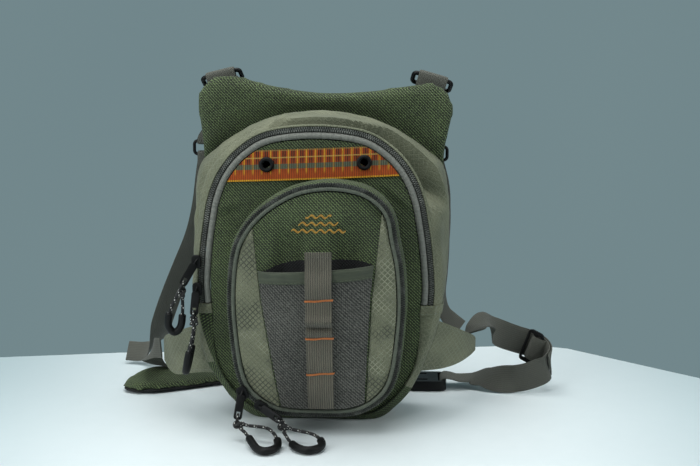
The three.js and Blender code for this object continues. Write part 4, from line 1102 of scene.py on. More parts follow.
# A band along a path. Its seat is a depth and a shift; its section lists steps across, which may
# change with the height, and how proud they stand.
def bandPiece(name, path, seat, section, finish, node=None, closed=False):
    depth, shift = seat
    mapHeight = 60.0  # where a widening band is measured for its cloth
    inward = inwardOf(path, closed)
    rings, acrosses = [], []
    for across, proud in section:
        offset = across(path[:, 1]) if callable(across) else np.full(len(path), across)
        rings.append(atDepth(path + inward * offset[:, None] + (shift, 0), depth - proud))
        acrosses.append(float(across(mapHeight) if callable(across) else across))
    rings = np.stack(rings, 1)
    return loftPiece(name, rings, runLengths(path), np.array(acrosses), finish, closed, sharp=50, node=node)


mainSeat = (pack["zipDepth"], pack["lean"])
pocketSeat = (pack["pocketDepth"], 0.0)
upper = zipLoop[zipLoop[:, 1] > pack["zipEnd"] + pack["gap"]]
lowerLoop = np.roll(zipLoop, loopCount // 2, 0)
lower = lowerLoop[lowerLoop[:, 1] < pack["zipEnd"] - pack["gap"]]


def coilPiece(name, path, seat, rows, finish, closed=False):
    coil = {"pitch": 0.95, "slant": 0.25, "bar": (2.0, 1.2, 1.2)}
    depth, shift = seat
    closing = np.vstack([path, path[:1]]) if closed else path
    fine = evenly(closing, int(runLengths(closing)[-1] / coil["pitch"]))
    inward = inwardOf(fine, False)
    places, alongs = [], []
    for index, (across, proud) in enumerate(rows):
        lead = inward[index % 2 :: 2]
        places.append(atDepth(fine[index % 2 :: 2] + lead * across + (shift, 0), depth - proud))
        alongs.append(atDepth(lead, -coil["slant"] if index % 2 else coil["slant"]))
    places = np.concatenate(places)
    return bars(name, places, np.concatenate(alongs), facingFront(len(places)), coil["bar"], finish)


def makeMainZip():
    section = [(2.3, 0.3), (2.3, 0.9), (5.9, 0.9), (6.3, 0.8), (6.4, 0.3)]
    flap = [(0.2, 0.3), (0.2, 1.2), (0.6, 1.8), (1.5, 2.1), (2.0, 1.6), (2.1, 0.9), (2.1, 0.3)]
    coils = [(3.35, 1.5), (4.95, 1.5)]
    bandPiece("mainZipTape", upper, mainSeat, section, tape, "main_zip")
    coilPiece("mainZipCoil", upper, mainSeat, coils, coilGrey)
    bandPiece("mainZipFlap", upper, mainSeat, flap, sage)
    start, half = pack["zipTape"] + pack["gap"], pack["bindingWidth"] / 2
    turn = np.linspace(0, math.pi, 11)
    arch = [(start + half - half * math.cos(a), 0.7 + 2.4 * math.sin(a)) for a in turn]
    piping = [(start, 0.3), *arch, (start + 2 * half, 0.3)]
    bandPiece("panelBinding", upper, mainSeat, piping, binding, "panel_binding")

    def inner(height):
        return flangeAt(height) - pack["gap"]

    flat = [
        (0.2, 0.3), (0.2, 1.2), (0.6, 1.5), (lambda h: flangeAt(h) * 0.5, 1.9),
        (lambda h: inner(h) - 0.4, 1.5), (inner, 1.2), (inner, 0.3),
    ]
    low = np.where(lower[:, 0] > 0, pack["baseRight"], pack["baseLeft"])
    under = np.flatnonzero(lower[:, 1] <= low)
    ends = [lower[: under[0] + 1], lower[under[-1] :]]
    right, left = ends if ends[0][0, 0] > 0 else ends[::-1]
    foot = lower[under]
    strips = [("Right", right, sage, "lower_strip"), ("Left", left, olive, None), ("Foot", foot, olive, None)]
    for name, path, finish, node in strips:
        bandPiece(f"lowerStrip{name}", path, mainSeat, flat, finish, node)


makeMainZip()


def panelHalf(height):
    return edgeAt(panelLoop, height, 1)


def makeFrontPanel():
    cloth = {
        "spans": [(7.0, 215, 74), (217, 233.9, 14)],  # heights and rows of the grid, closer at the top
        "columns": 110,
        "waves": 3.2,
        "mostForward": -0.2,
        "under": 1.5,  # how far the edge runs in behind the strip below the zip
        "underFade": (70, 90),
        "slackHalf": 86,
        "slackFrom": 0.96,
        "slackRise": 3,
        "slackFoot": (16, 40),
        "hollow": {"off": -6, "share": 0.7},
        "creases": [  # x and z of the middle, slope, height, width, length
            (-82, 178, 0.35, 1.9, 3.2, 15), (-84, 128, -0.4, 1.5, 3.4, 13), (78, 150, 0.3, 1.7, 3.0, 13),
            (76, 96, -0.3, 1.4, 3.2, 12), (66, 186, -0.8, 1.6, 3.4, 15),
        ],
    }
    heights = np.concatenate([np.linspace(*span) for span in cloth["spans"]])

    def edge(height, side):
        tucked = cloth["under"] * (1 - ease(height, *cloth["underFade"]))
        return pack["lean"] + side * (panelHalf(height) + tucked)

    x, z = strip(heights, edge, cloth["columns"])
    y = panelFront(x, z)
    aside = ((x - pack["lean"]) / cloth["slackHalf"]) ** 2
    slack = np.clip((cloth["slackFrom"] - aside) * cloth["slackRise"], 0, 1) * ease(z, *cloth["slackFoot"])
    waves = rumple(joined(x, y, z), 30.0, 9) * cloth["waves"] * slack
    y = y + np.maximum(waves, cloth["mostForward"])
    for middleX, middleZ, slope, height, wide, long in cloth["creases"]:
        off = (z - middleZ) - slope * (x - middleX)
        dent = cloth["hollow"]["share"] * bump(off, cloth["hollow"]["off"], wide)
        y = y - height * (bump(off, 0, wide) - dent) * bump(x, middleX, long) * slack
    wallPiece("frontPanel", x, y, z, pack["clothWall"], olive, "front_panel")


makeFrontPanel()


def makeTrim():
    band = {"low": 202.4, "high": 227.0, "rows": 22, "columns": 80, "wall": 1.0, "tilt": 0.04}
    eyelet = {
        "places": [("eyeletLeft", "eyelet_left", -43.4, 214), ("eyeletRight", "eyelet_right", 35.3, 216)],
        "seat": 1.2,
        "sides": 36,
        "profile": [  # radius and how proud
            (0.3, -1.1), (3.1, -1.1), (3.2, 0.4), (3.35, 1.1), (3.7, 1.5), (4.4, 1.7), (5.2, 1.55),
            (5.8, 1.15), (6.15, 0.5), (6.2, -0.9),
        ],
        # The hole is closed by the eyelet's black floor and a black disc: painted shade for the dark inside
        "holeShade": [(0.2, -0.9), (2.9, -0.9), (2.9, -1.05), (0.2, -1.05)],
    }

    def edge(height, side):
        return pack["lean"] + side * panelHalf(height + side * band["tilt"] * panelHalf(height))

    heights = np.linspace(band["low"], band["high"], band["rows"])
    x, z = strip(heights, edge, band["columns"], lambda x, h: band["tilt"] * (x - pack["lean"]))
    y = panelFront(x, z) - pack["gap"] - band["wall"]
    along = np.linspace(0, band["high"] - band["low"], band["rows"])[:, None]
    maps = joined(x, along)
    wallPiece("trimRibbon", x, y, z, band["wall"], trim, "trim_band", maps=maps)

    turn = fullTurn(eyelet["sides"])
    circle = joined(np.cos(turn), np.sin(turn))

    def eyeletPiece(name, x, z, profile, finish, node=None):
        y = panelFront(x, z) - pack["gap"] - band["wall"] - eyelet["seat"]
        rings = np.array([atDepth((x, z) + radius * circle, y - proud) for radius, proud in profile])
        loftPiece(name, rings, np.arange(len(profile)), turn, finish, sharp=35, node=node)

    for name, node, x, z in eyelet["places"]:
        eyeletPiece(name, x, z, eyelet["profile"], black, node)
        # Each eyelet gets a black disc in its hole: painted shade
        eyeletPiece(f"{name}HoleShade", x, z, eyelet["holeShade"], lining)


makeTrim()
print("compartment made")

# Front pocket


def makePocketGusset():
    cloth = {
        "rows": [(0, -2.5), (0.25, 0.2), (0.5, 1.5), (0.8, 1.4), (1, 0)],  # share of the depth, outset
        "rowSteps": 5,
        "waves": 0.8,
        "inset": 2.5,
        "proud": 0.6,
        "deep": 32,
    }
    rows = smoothRun(cloth["rows"], cloth["rowSteps"])
    foot = insetLoop(pocketLoop, cloth["inset"])
    start = panelFront(foot[:, 0], foot[:, 1]) - cloth["proud"]
    inward = inwardOf(pocketLoop, True)
    sheets = []
    for wall in (0.0, pack["clothWall"]):
        grid = []
        for depth, outset in rows:
            y = lerp(start, pack["pocketDepth"], depth)
            slack = cloth["waves"] * math.sin(math.pi * min(max(depth, 0), 1))
            fold = rumple(atDepth(pocketLoop, y), 26.0, 4) * slack
            grid.append(atDepth(pocketLoop + inward * (wall - outset - fold)[:, None], y))
        sheets.append(np.array(grid))
    along = runLengths(np.vstack([pocketLoop, pocketLoop[:1]]))[None]
    maps = joined(along, rows[:, :1] * cloth["deep"])
    piece = clothShell("pocketGusset", *sheets, maps, olive, True, "pocket_gusset")
    declareSheet(sheets[0])


def makePocketZip():
    section = [
        (0.2, 0.3), (0.2, 0.8), (0.5, 1.0), (3.1, 1.0), (3.3, 1.8), (3.9, 2.4), (4.8, 2.6),
        (5.7, 2.3), (6.3, 1.6), (6.4, 0.3),
    ]
    coils = [(0.95, 1.6), (2.35, 1.6)]
    bandPiece("pocketZipTape", pocketLoop, pocketSeat, section, pocketBinding, "pocket_zip", True)
    coilPiece("pocketZipCoil", pocketLoop, pocketSeat, coils, coilDark, True)


makePocketGusset()
makePocketZip()

faceLoop = insetLoop(pocketLoop, pack["zipTape"] + 2 * pack["gap"])
faceFoot = 26.0  # about where the pocket's face starts


# The two seams that split the pocket's face, slanting outward as they rise
def seamEdge(height, side):
    seam = {"half": 34.5, "spread": 0.108, "leanBelow": 100, "lean": 0.052, "least": -0.7}
    middle = np.maximum(seam["least"], (seam["leanBelow"] - height) * seam["lean"])
    return middle + side * (seam["half"] + (height - faceFoot) * seam["spread"])


# The pocket's face sinks in on both sides of the strap, down toward the slip pocket's mouth
def mouthDip(x, z):
    dip = {
        "depth": 7.0, "middle": 2.6, "strap": (6, 17), "seam": (27, 41),
        "above": (143, 182), "below": (112, 128),
    }
    aside = np.abs(x - dip["middle"])
    beside = ease(aside, *dip["strap"]) * (1 - ease(aside, *dip["seam"]))
    return dip["depth"] * beside * (1 - ease(z, *dip["above"])) * ease(z, *dip["below"])


def makePocketFace():
    cloth = {
        "columns": 56,
        "rows": 78,
        "inset": 0.3,
        "waves": 0.6,
        "edgeRise": 60,
        "topGuess": 180.0,
        "sideSearch": (20, 185, 331),  # heights looked through for room between seam and rim
        "sideColumns": 18,
        "sideRows": 70,
        "sideLeast": 0.9,
        "sideWaves": 1.1,
        "sidePuff": 1.2,
    }
    share = np.linspace(0, 1, cloth["columns"])[None]
    up = np.linspace(0, 1, cloth["rows"])[:, None]

    def between(height):
        return lerp(seamEdge(height, -1) + pack["gap"] / 2, seamEdge(height, 1) - pack["gap"] / 2, share)

    low = edgeHeight(faceLoop, between(faceFoot), False) + cloth["inset"]
    high = np.full_like(low, cloth["topGuess"])
    for step in range(5):  # closes in on the height where the slanted seams meet the rim
        high = edgeHeight(faceLoop, between(high), True) - cloth["inset"]
    z = lerp(low, high, up)
    x = between(z)
    y = pocketFront(x, z)
    edge = np.clip(np.minimum(share, 1 - share) * np.minimum(up, 1 - up) * cloth["edgeRise"], 0, 1)
    y = y + rumple(joined(x, y, z), 24.0, 12) * cloth["waves"] * edge + mouthDip(x, z)
    wallPiece("pocketCentre", x, y, z, pack["clothWall"], olive, "pocket_centre")

    tall = np.linspace(*cloth["sideSearch"])
    across = np.linspace(0, 1, cloth["sideColumns"])[None]
    towardEdge = (2 * across - 1) ** 2
    for name, side, node in (("Left", -1, "pocket_side_left"), ("Right", 1, "pocket_side_right")):
        room = side * (edgeAt(faceLoop, tall, side) - seamEdge(tall, side))
        wideEnough = tall[room > cloth["sideLeast"]]
        heights = np.linspace(wideEnough[0], wideEnough[-1], cloth["sideRows"])[:, None]
        edges = [seamEdge(heights, side) + side * pack["gap"] / 2, edgeAt(faceLoop, heights, side)]
        x = lerp(*edges[::side], across)
        z = np.broadcast_to(heights, x.shape)
        y = pocketFront(x, z)
        waves = rumple(joined(x, y, z), 17.0, 20 + side) * cloth["sideWaves"]
        y = y - (1 - towardEdge) * cloth["sidePuff"] + waves * (1 - towardEdge**2)
        wallPiece(f"pocketSide{name}", x, y, z, pack["clothWall"], sageDiamonds, node)


makePocketFace()

slip = {
    "foot": 27.0,
    "hem": 127.0,
    "mouth": 137.0,
    "gape": 10.0,
    "tilt": 0.062,
    "seam": 1.2,
    "footInset": 0.7,
    "hemExtra": 0.6,
    "hemPuff": 0.5,
    "columns": 48,
    "meshRows": 56,
    "hemRows": 9,
    "waves": 0.7,
    "mostBack": 0.4,
}


def slipShare(z):
    return np.clip((z - slip["foot"]) / (slip["mouth"] - slip["foot"]), 0, 1)


def slipFront(x, z):
    middle = (seamEdge(z, 1) + seamEdge(z, -1)) / 2
    across = np.minimum(1, np.abs(x - middle) / (seamEdge(z, 1) - middle))
    opened = (1 - across**4) * slipShare(z) ** 1.4
    return pocketFront(x, z) - pack["gap"] - pack["meshWall"] - slip["gape"] * opened


def slipRise(x, height):
    return slip["tilt"] * x * slipShare(height)


def slipEdge(height, side):
    return seamEdge(height, side) - side * slip["seam"]


def makeSlipPocket():
    columns = slip["columns"]
    share = np.linspace(0, 1, columns)[None]
    footX = lerp(slipEdge(faceFoot, -1), slipEdge(faceFoot, 1), share)
    foot = edgeHeight(faceLoop, footX, False) + slip["footInset"]
    heights = lerp(foot, slip["hem"], np.linspace(0, 1, slip["meshRows"])[:, None])
    x = lerp(slipEdge(heights, -1), slipEdge(heights, 1), share)
    z = heights + slipRise(x, heights)
    y = slipFront(x, z)
    waves = rumple(joined(x, y, z), 20.0, 30) * slip["waves"] * slipShare(z)
    y = y + np.minimum(waves, slip["mostBack"])
    wallPiece("slipPocket", x, y, z, pack["meshWall"], meshGrey, "mesh_pocket")

    heights = np.linspace(slip["hem"] + pack["gap"], slip["mouth"], slip["hemRows"])
    x, z = strip(heights, slipEdge, columns, slipRise)
    curl = np.linspace(-1, 1, slip["hemRows"])[:, None]
    y = slipFront(x, z) - slip["hemExtra"] - slip["hemPuff"] * (1 - curl**4)
    wall = pack["meshWall"] + slip["hemExtra"]
    grid = wallPiece("slipHem", x, y, z, wall, hemBinding, "mesh_hem")
    stitchRow("slipHemStitches", grid[1] - (0, 0.1, 0), facingFront(columns), oliveThread)

    # A black sheet in the pocket's mouth, above the hem: painted shade for the dark inside of the mouth
    mouthShade = {
        "top": [
            (-42, 134), (-31, 139), (-18.6, 141.8), (-8, 143.3), (12.8, 143.8), (26.7, 143.1), (38, 141.8),
            (43.2, 140.2),
        ],
        "foot": 122.0,
        "proud": 1.15,
        "wall": 0.25,
    }
    edge = np.array(mouthShade["top"])
    x = np.linspace(edge[0, 0], edge[-1, 0], 60)[None]
    z = lerp(mouthShade["foot"], np.interp(x, edge[:, 0], edge[:, 1]), np.linspace(0, 1, 12)[:, None])
    x = np.broadcast_to(x, z.shape)
    outer = joined(x, pocketFront(x, z) + mouthDip(x, z) - mouthShade["proud"], z)
    clothShell("slipMouthShade", outer, outer + (0, mouthShade["wall"], 0), joined(x, z), lining)


makeSlipPocket()

daisy = {
    "top": 152.0,
    "foot": 24.0,
    "topX": 2.6,
    "footX": 3.4,
    "width": 20.5,
    "slack": 3.0,
    "carriedFrom": 116.5,  # above this height it bridges from the hem to its top
    "tacks": (114.2, 83.6, 54.0),
    "kinks": [(107.0, -0.6, 2.5), (98.6, 4.2, 2.8), (92.6, -2.4, 1.6), (88.2, 2.4, 1.7), (60.0, 1.2, 2.6)],
    "fold": {"z": 148.5, "half": 9.4, "proud": 0.9},
    "tack": {
        "stitches": 38, "half": 10.7, "edge": 10.25, "size": (1.7, 0.85, 0.8), "tilt": (0.07, 0.05, 0.08),
    },
}


def daisyX(z):
    return lerp(daisy["footX"], daisy["topX"], (z - daisy["foot"]) / (daisy["top"] - daisy["foot"]))


def daisyDepth(z):
    stops = [slip["mouth"], *daisy["tacks"], daisy["foot"]]
    slack = 0.0
    for high, low in zip(stops, stops[1:]):
        if low <= z <= high:
            slack = daisy["slack"] * math.sin(math.pi * (high - z) / (high - low))
    x = daisyX(z)
    carried = min(slipFront(x, min(z, slip["mouth"])), slipFront(0, slip["hem"]))
    behind = carried if z > daisy["carriedFrom"] else slipFront(x, z)
    for place, height, wide in daisy["kinks"]:
        slack += height * bump(z, place, wide)
    return float(behind - slip["hemExtra"] - pack["gap"] - pack["webbingWall"] / 2 - slack)


def makeDaisyStrap():
    high, middle, low = daisy["tacks"]
    heights = [
        *np.linspace(daisy["top"], slip["mouth"], 5), 134, 131, 128, 125, 122, 119, 116.4,
        *np.linspace(high, middle, 18), *np.linspace(81, low, 12), *np.linspace(51, daisy["foot"], 9),
    ]
    rows = [(daisyX(z), daisyDepth(z), z, 1, 0, 0) for z in heights]
    webbingPiece("daisyStrap", rows, daisy["width"], "daisy_strap", 2, daisyWebbing)

    fold = daisy["fold"]
    x = daisyX(fold["z"]) + np.linspace(-1, 1, 12) * fold["half"]
    line = joined(x, np.full(12, daisyDepth(fold["z"]) - fold["proud"]), np.full(12, fold["z"]))
    stitchRow("daisyTopStitches", line, facingFront(12), brownThread)

    tack = daisy["tack"]
    count = tack["stitches"]
    reach = np.linspace(-tack["half"], tack["half"], count)
    lean = np.where(np.arange(count) % 2, 0.35, -0.35)
    alongs = joined(lean, np.zeros(count), np.ones(count))
    for number, (z, tilt) in enumerate(zip(daisy["tacks"], tack["tilt"]), 1):
        sag = 0.2 * np.sin(np.linspace(0, 9, count) + number) + tilt * reach
        y = np.full(count, daisyDepth(z) - pack["webbingWall"] / 2 - 0.5)
        y[np.abs(reach) > tack["edge"]] += 0.5
        places = joined(daisyX(z) + reach, y, z + sag)
        outs, node = facingFront(count), f"bar_tack_{number}"
        bars(f"barTack{number}", places, alongs, outs, tack["size"], tackThread, node)


makeDaisyStrap()


# Embroidered ripple lines above the slip pocket
def makeRipples():
    motif = {
        "lines": [(166.0, 21.0), (171.5, 15.5), (177.0, 10.0)],  # height and half length
        "x": 1.5,
        "wave": 1.1,
        "waveLength": 7.0,
        "proud": 0.35,
        "pitch": 0.42,
        "stitch": (1.7, 0.5, 0.6),
    }
    for number, (z, half) in enumerate(motif["lines"], 1):
        reach = np.linspace(-1, 1, 120) * half
        x = motif["x"] + reach
        height = z + motif["wave"] * np.sin(reach / motif["waveLength"] * 2 * math.pi)
        line = joined(x, pocketFront(x, height) - motif["proud"], height)
        run = runLengths(line)
        spots = pointsAt(line, run, np.arange(0.3, run[-1] - 0.3, motif["pitch"]))
        slant = np.tile((0.45, 0.0, 1.0), (len(spots), 1))
        bars(f"rippleLine{number}", spots, slant, facingFront(len(spots)), motif["stitch"], ochreThread)


makeRipples()
print("front pocket made")

# Padded back panel and shoulder pad, blown up by a short cloth simulation


def boxMap(mesh):
    layer = mesh.uv_layers.get("clothMap") or mesh.uv_layers.new(name="clothMap")
    for face in mesh.polygons:
        axis = max(range(3), key=lambda k: abs(face.normal[k]))
        first, second = ((1, 2), (0, 2), (0, 1))[axis]
        for corner in face.loop_indices:
            place = mesh.vertices[mesh.loops[corner].vertex_index].co
            layer.uv[corner].vector = (place[first] * 1000, place[second] * 1000)


# Where a short simulation with pressure carries the points; sewn ones stay
def blownUp(piece, sewn, pressure):
    settings = {
        "quality": 5,
        "mass": 0.3,
        "tension_stiffness": 12,
        "compression_stiffness": 12,
        "bending_stiffness": 1.5,
        "use_pressure": True,
        "uniform_pressure_force": pressure,
        "vertex_group_mass": "sewn",
    }
    group = piece.vertex_groups.new(name="sewn")
    for index, weight in enumerate(sewn):
        group.add([index], float(weight), "REPLACE")
    cloth = piece.modifiers.new("cloth", "CLOTH")
    for key, value in settings.items():
        setattr(cloth.settings, key, value)
    cloth.settings.effector_weights.gravity = 0
    for step in range(1, 21):
        scene.frame_set(step)
    made = piece.evaluated_get(bpy.context.evaluated_depsgraph_get())
    ended = np.array([v.co for v in made.data.vertices]) * 1000
    piece.modifiers.remove(cloth)
    piece.vertex_groups.clear()
    scene.frame_set(1)
    return ended


def inflate(node, name, finish, look, sewnAt):
    piece = bpy.data.objects.new(name, nodes[node].data.copy())
    scene.collection.objects.link(piece)
    bpy.context.view_layer.objects.active = piece
    piece.modifiers.new("even", "REMESH").voxel_size = look["voxel"] * 0.001
    bpy.ops.object.modifier_apply(modifier="even")
    start = np.array([v.co for v in piece.data.vertices]) * 1000
    normals = np.array([v.normal for v in piece.data.vertices])
    sewn = sewnAt(start)
    ended = start - normals * (look["shrink"] * (1 - sewn))[:, None]
    piece.data.vertices.foreach_set("co", (ended * 0.001).astype(np.float32).ravel())
    ended = blownUp(piece, sewn, look["pressure"])
    move = ended - start
    size = np.linalg.norm(move, axis=1, keepdims=True)
    ended = start + move * np.minimum(1, look["cap"] / np.maximum(size, 1e-6))
    if "ridge" in look:
        away = (ended[:, :2] - look["ridge"]["at"]) / look["ridge"]["reach"]
        swell = np.exp(-(away**2).sum(1)) * ease(ended[:, 2], look["floor"], look["floor"] + 4)
        ended[:, 2] += look["ridge"]["height"] * swell
    ended[:, 2] = np.maximum(ended[:, 2], look["floor"])
    piece.data.vertices.foreach_set("co", (ended * 0.001).astype(np.float32).ravel())
    piece.data.update()
    boxMap(piece.data)
    piece.data.shade_smooth()
    smooth = piece.modifiers.new("smooth", "SUBSURF")
    smooth.levels = smooth.render_levels = 1
    dress(piece, finish, node)


def makeBackPanel():
    look = {"voxel": 4.5, "shrink": 0.5, "pressure": 5.0, "cap": 3.2, "floor": 0.0, "fill": 0.6}
    seam = {"middle": (0, 140), "beyond": 2.5, "front": 40, "back": 45.5, "hornsFrom": (185, 205)}

    # Sewn inside the compartment's seam, over the back and below the horns
    def sewn(points):
        away = points[:, [0, 2]] - seam["middle"]
        seamAway = seamLoop - seam["middle"]
        seamTurn = np.arctan2(seamAway[:, 1], seamAway[:, 0])
        order = np.argsort(seamTurn)
        reach = np.hypot(*seamAway.T)[order]
        turn = np.arctan2(away[:, 1], away[:, 0])
        edge = np.interp(turn, seamTurn[order], reach, period=2 * math.pi)
        inside = np.hypot(*away.T) < edge + seam["beyond"]
        flat = (inside & (points[:, 1] < seam["front"])) | (points[:, 1] > seam["back"])
        return np.maximum(flat, 1 - ease(points[:, 2], *seam["hornsFrom"]))

    inflate("back_panel", "backPanel", olive, look, sewn)


makeBackPanel()


def makeShoulderPad():
    look = {
        "voxel": 4.0, "shrink": 0.4, "pressure": 4.0, "cap": 2.2, "floor": 3.9, "fill": 0.7,
        "sewnBelow": 4.6,
        "ridge": {"at": (-166, 92), "reach": (22, 16), "height": 5.0},
    }
    sole = {
        "voxel": 3.0, "shrink": 0.2, "pressure": 1.0, "cap": 0.8, "floor": 0.2, "fill": 0.3,
        "sewnAbove": 3.2,
    }

    def underside(points):
        return 1.0 * (points[:, 2] < look["sewnBelow"])

    def topside(points):
        return 1.0 * (points[:, 2] > sole["sewnAbove"])

    inflate("shoulder_pad", "shoulderPad", olive, look, underside)
    inflate("pad_lining", "padLining", lining, sole, topside)


makeShoulderPad()
print("padding made")

# Wings


def makeWings():
    shape = {
        "rows": 30, "columns": 44, "rootDepth": -3.0, "tuck": 0.35, "bow": 5.0, "fold": 1.3,
        "wall": 2.4, "rootWall": 0.8, "rootFade": 0.14, "edge": 0.09, "edgeThinner": 0.5,
        "tipFrom": 0.86, "tipRound": 0.12, "clothLength": 62, "stitches": (("Top", 27), ("Foot", 2)),
    }
    wings = [  # a late above 1 moves the sag toward the tip
        {"name": "Left", "node": "wing_left", "side": -1, "low": 37, "high": 78,
         "tip": (-144, 42), "tipLow": 33, "tipHigh": 57, "sag": 7.0, "late": 2.0},
        {"name": "Right", "node": "wing_right", "side": 1, "low": 41, "high": 84,
         "tip": (131, 50), "tipLow": 44.5, "tipHigh": 58.5, "sag": 3.0, "late": 1.0},
    ]
    root = gusset[np.abs(gusset[:, 0, 1] - shape["rootDepth"]).argmin()][:, [0, 2]]
    up = np.linspace(0, 1, shape["rows"])[:, None]
    along = np.linspace(0, 1, shape["columns"])[None]
    thinner = shape["edgeThinner"] * (1 - np.clip(np.minimum(up, 1 - up) / shape["edge"], 0, 1))
    slack = np.sin(math.pi * along) * np.sin(math.pi * np.clip(up, 0.02, 0.98))
    wall = lerp(shape["rootWall"], shape["wall"], ease(along, 0, shape["rootFade"])) - thinner
    rounded = shape["tipRound"] * ease(along, shape["tipFrom"], 1.0) ** 2
    bow = shape["bow"] * np.sin(math.pi * along)
    for wing in wings:
        name, side = f"wing{wing['name']}", wing["side"]
        out = np.array([side * 0.6, -0.8, 0])
        rootZ = lerp(wing["low"], wing["high"], up)
        rootX = edgeAt(root, rootZ, side) + side * shape["tuck"]
        tipZ = lerp(wing["tipLow"], wing["tipHigh"], up)
        x = lerp(rootX, wing["tip"][0], along) + out[0] * bow
        y = lerp(shape["rootDepth"], wing["tip"][1], along) + out[1] * bow
        z = lerp(rootZ, lerp(tipZ, tipZ.mean(), rounded), along)
        z = z - wing["sag"] * (1 - up) * np.sin(math.pi * along ** wing["late"])
        grid = joined(x, y, z)
        fold = rumple(grid * (1, 1, 0.6), 26.0, 40 + side) * shape["fold"] * slack
        outer = grid + out * (fold - thinner)[..., None]
        inner = grid - out * wall[..., None]
        maps = joined(along * shape["clothLength"], z)
        piece = clothShell(name, outer, inner, maps, sage, node=wing["node"])
        declareSheet(outer)
        for label, row in shape["stitches"]:
            outs = np.tile(out, (shape["columns"], 1))
            stitchRow(f"{name}{label}Stitches", outer[row] + out * 0.15, outs, sageThread)


makeWings()


# Folded hems that close off the two ends of the main zip
def makeZipHems():
    hem = {
        "low": 90.5, "high": 98.6, "rows": 8, "columns": 34, "proud": 0.9, "lift": 2.9, "puff": 0.35,
        "wrapFrom": 14,  # the row of the gusset where it ends on the side
        "stitches": (("Upper", 6), ("Lower", 1)),
    }
    for name, side in (("Left", -1), ("Right", 1)):
        onSide = np.flatnonzero(side * zipLoop[:, 0] > 0)
        lines = []
        for height in np.linspace(hem["low"], hem["high"], hem["rows"]):
            index = onSide[np.abs(zipLoop[onSide, 1] - height).argmin()]
            wrap = gusset[hem["wrapFrom"] :, index][::-1] + (side * hem["proud"], 0, 0)
            edge = edgeAt(zipLoop, height, side) + pack["lean"]
            flat = np.full((12, 3), pack["zipDepth"] - hem["lift"])
            flat[:, 0] = np.linspace(edge - side * (flangeAt(height) - 0.4), edge + side * 0.2, 12)
            line = np.vstack([flat, wrap])
            line[:, 2] = height
            lines.append(evenly(line, hem["columns"]))
        grid = np.array(lines)
        share = np.abs(np.linspace(-1, 1, hem["rows"]))[:, None]
        grid[..., 1] -= hem["puff"] * (1 - share**4)
        inner = grid + np.array([-side * 0.5, 0.7, 0])
        maps = joined(np.arange(hem["columns"])[None] * 1.1, grid[..., 2])
        clothShell(f"zipHem{name}", grid, inner, maps, sage)
        out = unit(np.array([side * 0.45, -0.9, 0.0]))
        for label, row in hem["stitches"]:
            outs = np.tile(out, (hem["columns"], 1))
            stitchRow(f"zipHem{name}{label}Stitches", grid[row] + out * 0.2, outs, sageThread)


makeZipHems()
print("wings made")

# Harness webbing and rings


# A wire ring with rounded corners
def ringPiece(name, node, centre, long, short, longAxis, shortAxis, radius):
    corner = 3.2
    path = []
    for index, (signLong, signShort) in enumerate(((1, 1), (-1, 1), (-1, -1), (1, -1))):
        for angle in (math.pi / 2) * (index + np.linspace(0, 1, 8)):
            out = longAxis * math.cos(angle) + shortAxis * math.sin(angle)
            bend = longAxis * signLong * (long / 2 - corner) + shortAxis * signShort * (short / 2 - corner)
            path.append(centre + bend + out * corner)
    path = np.array(path)
    run = unit(np.roll(path, -1, 0) - np.roll(path, 1, 0))
    normal = unit(np.cross(longAxis, shortAxis))
    outs = np.cross(run, normal)
    turn = fullTurn(14)
    rings = path[:, None] + radius * (
        np.cos(turn)[None, :, None] * outs[:, None] + np.sin(turn)[None, :, None] * normal[None, None]
    )
    loftPiece(name, rings, runLengths(path), turn, black, closed=True, sharp=60, node=node)


backward = np.array([0.0, 1.0, 0.0])


# How far the middle of the webbing runs round a ring's wire
def turnRadius(wire):
    return wire + pack["gap"] + pack["webbingWall"] / 2


# A sewn box near the end of a strap that lies flat
def boxStitch(name, centre, wide, out, width):
    box = {"length": 18.0, "inset": 3.0, "count": 14, "proud": 0.15}
    count = box["count"]
    run = runLengths(centre)
    first = run[-1] - box["length"] - box["inset"]
    at = np.linspace(first, first + box["length"], count)
    side = pointsAt(wide, run, at) * (width / 2 - box["inset"])
    top = pointsAt(out, run, at)
    top = np.where(top[:, 2:] < 0, -top, top)
    middle = pointsAt(centre, run, at) + top * (pack["webbingWall"] / 2 + box["proud"])
    share = np.linspace(-1, 1, count)[:, None]
    lines = [
        middle + side, middle[-1] - share * side[-1], (middle - side)[::-1], middle[0] + share * side[0],
    ]
    outs = [top, np.tile(top[-1], (count, 1)), top[::-1], np.tile(top[0], (count, 1))]
    stitchRow(name, np.vstack(lines), np.vstack(outs), brownThread)


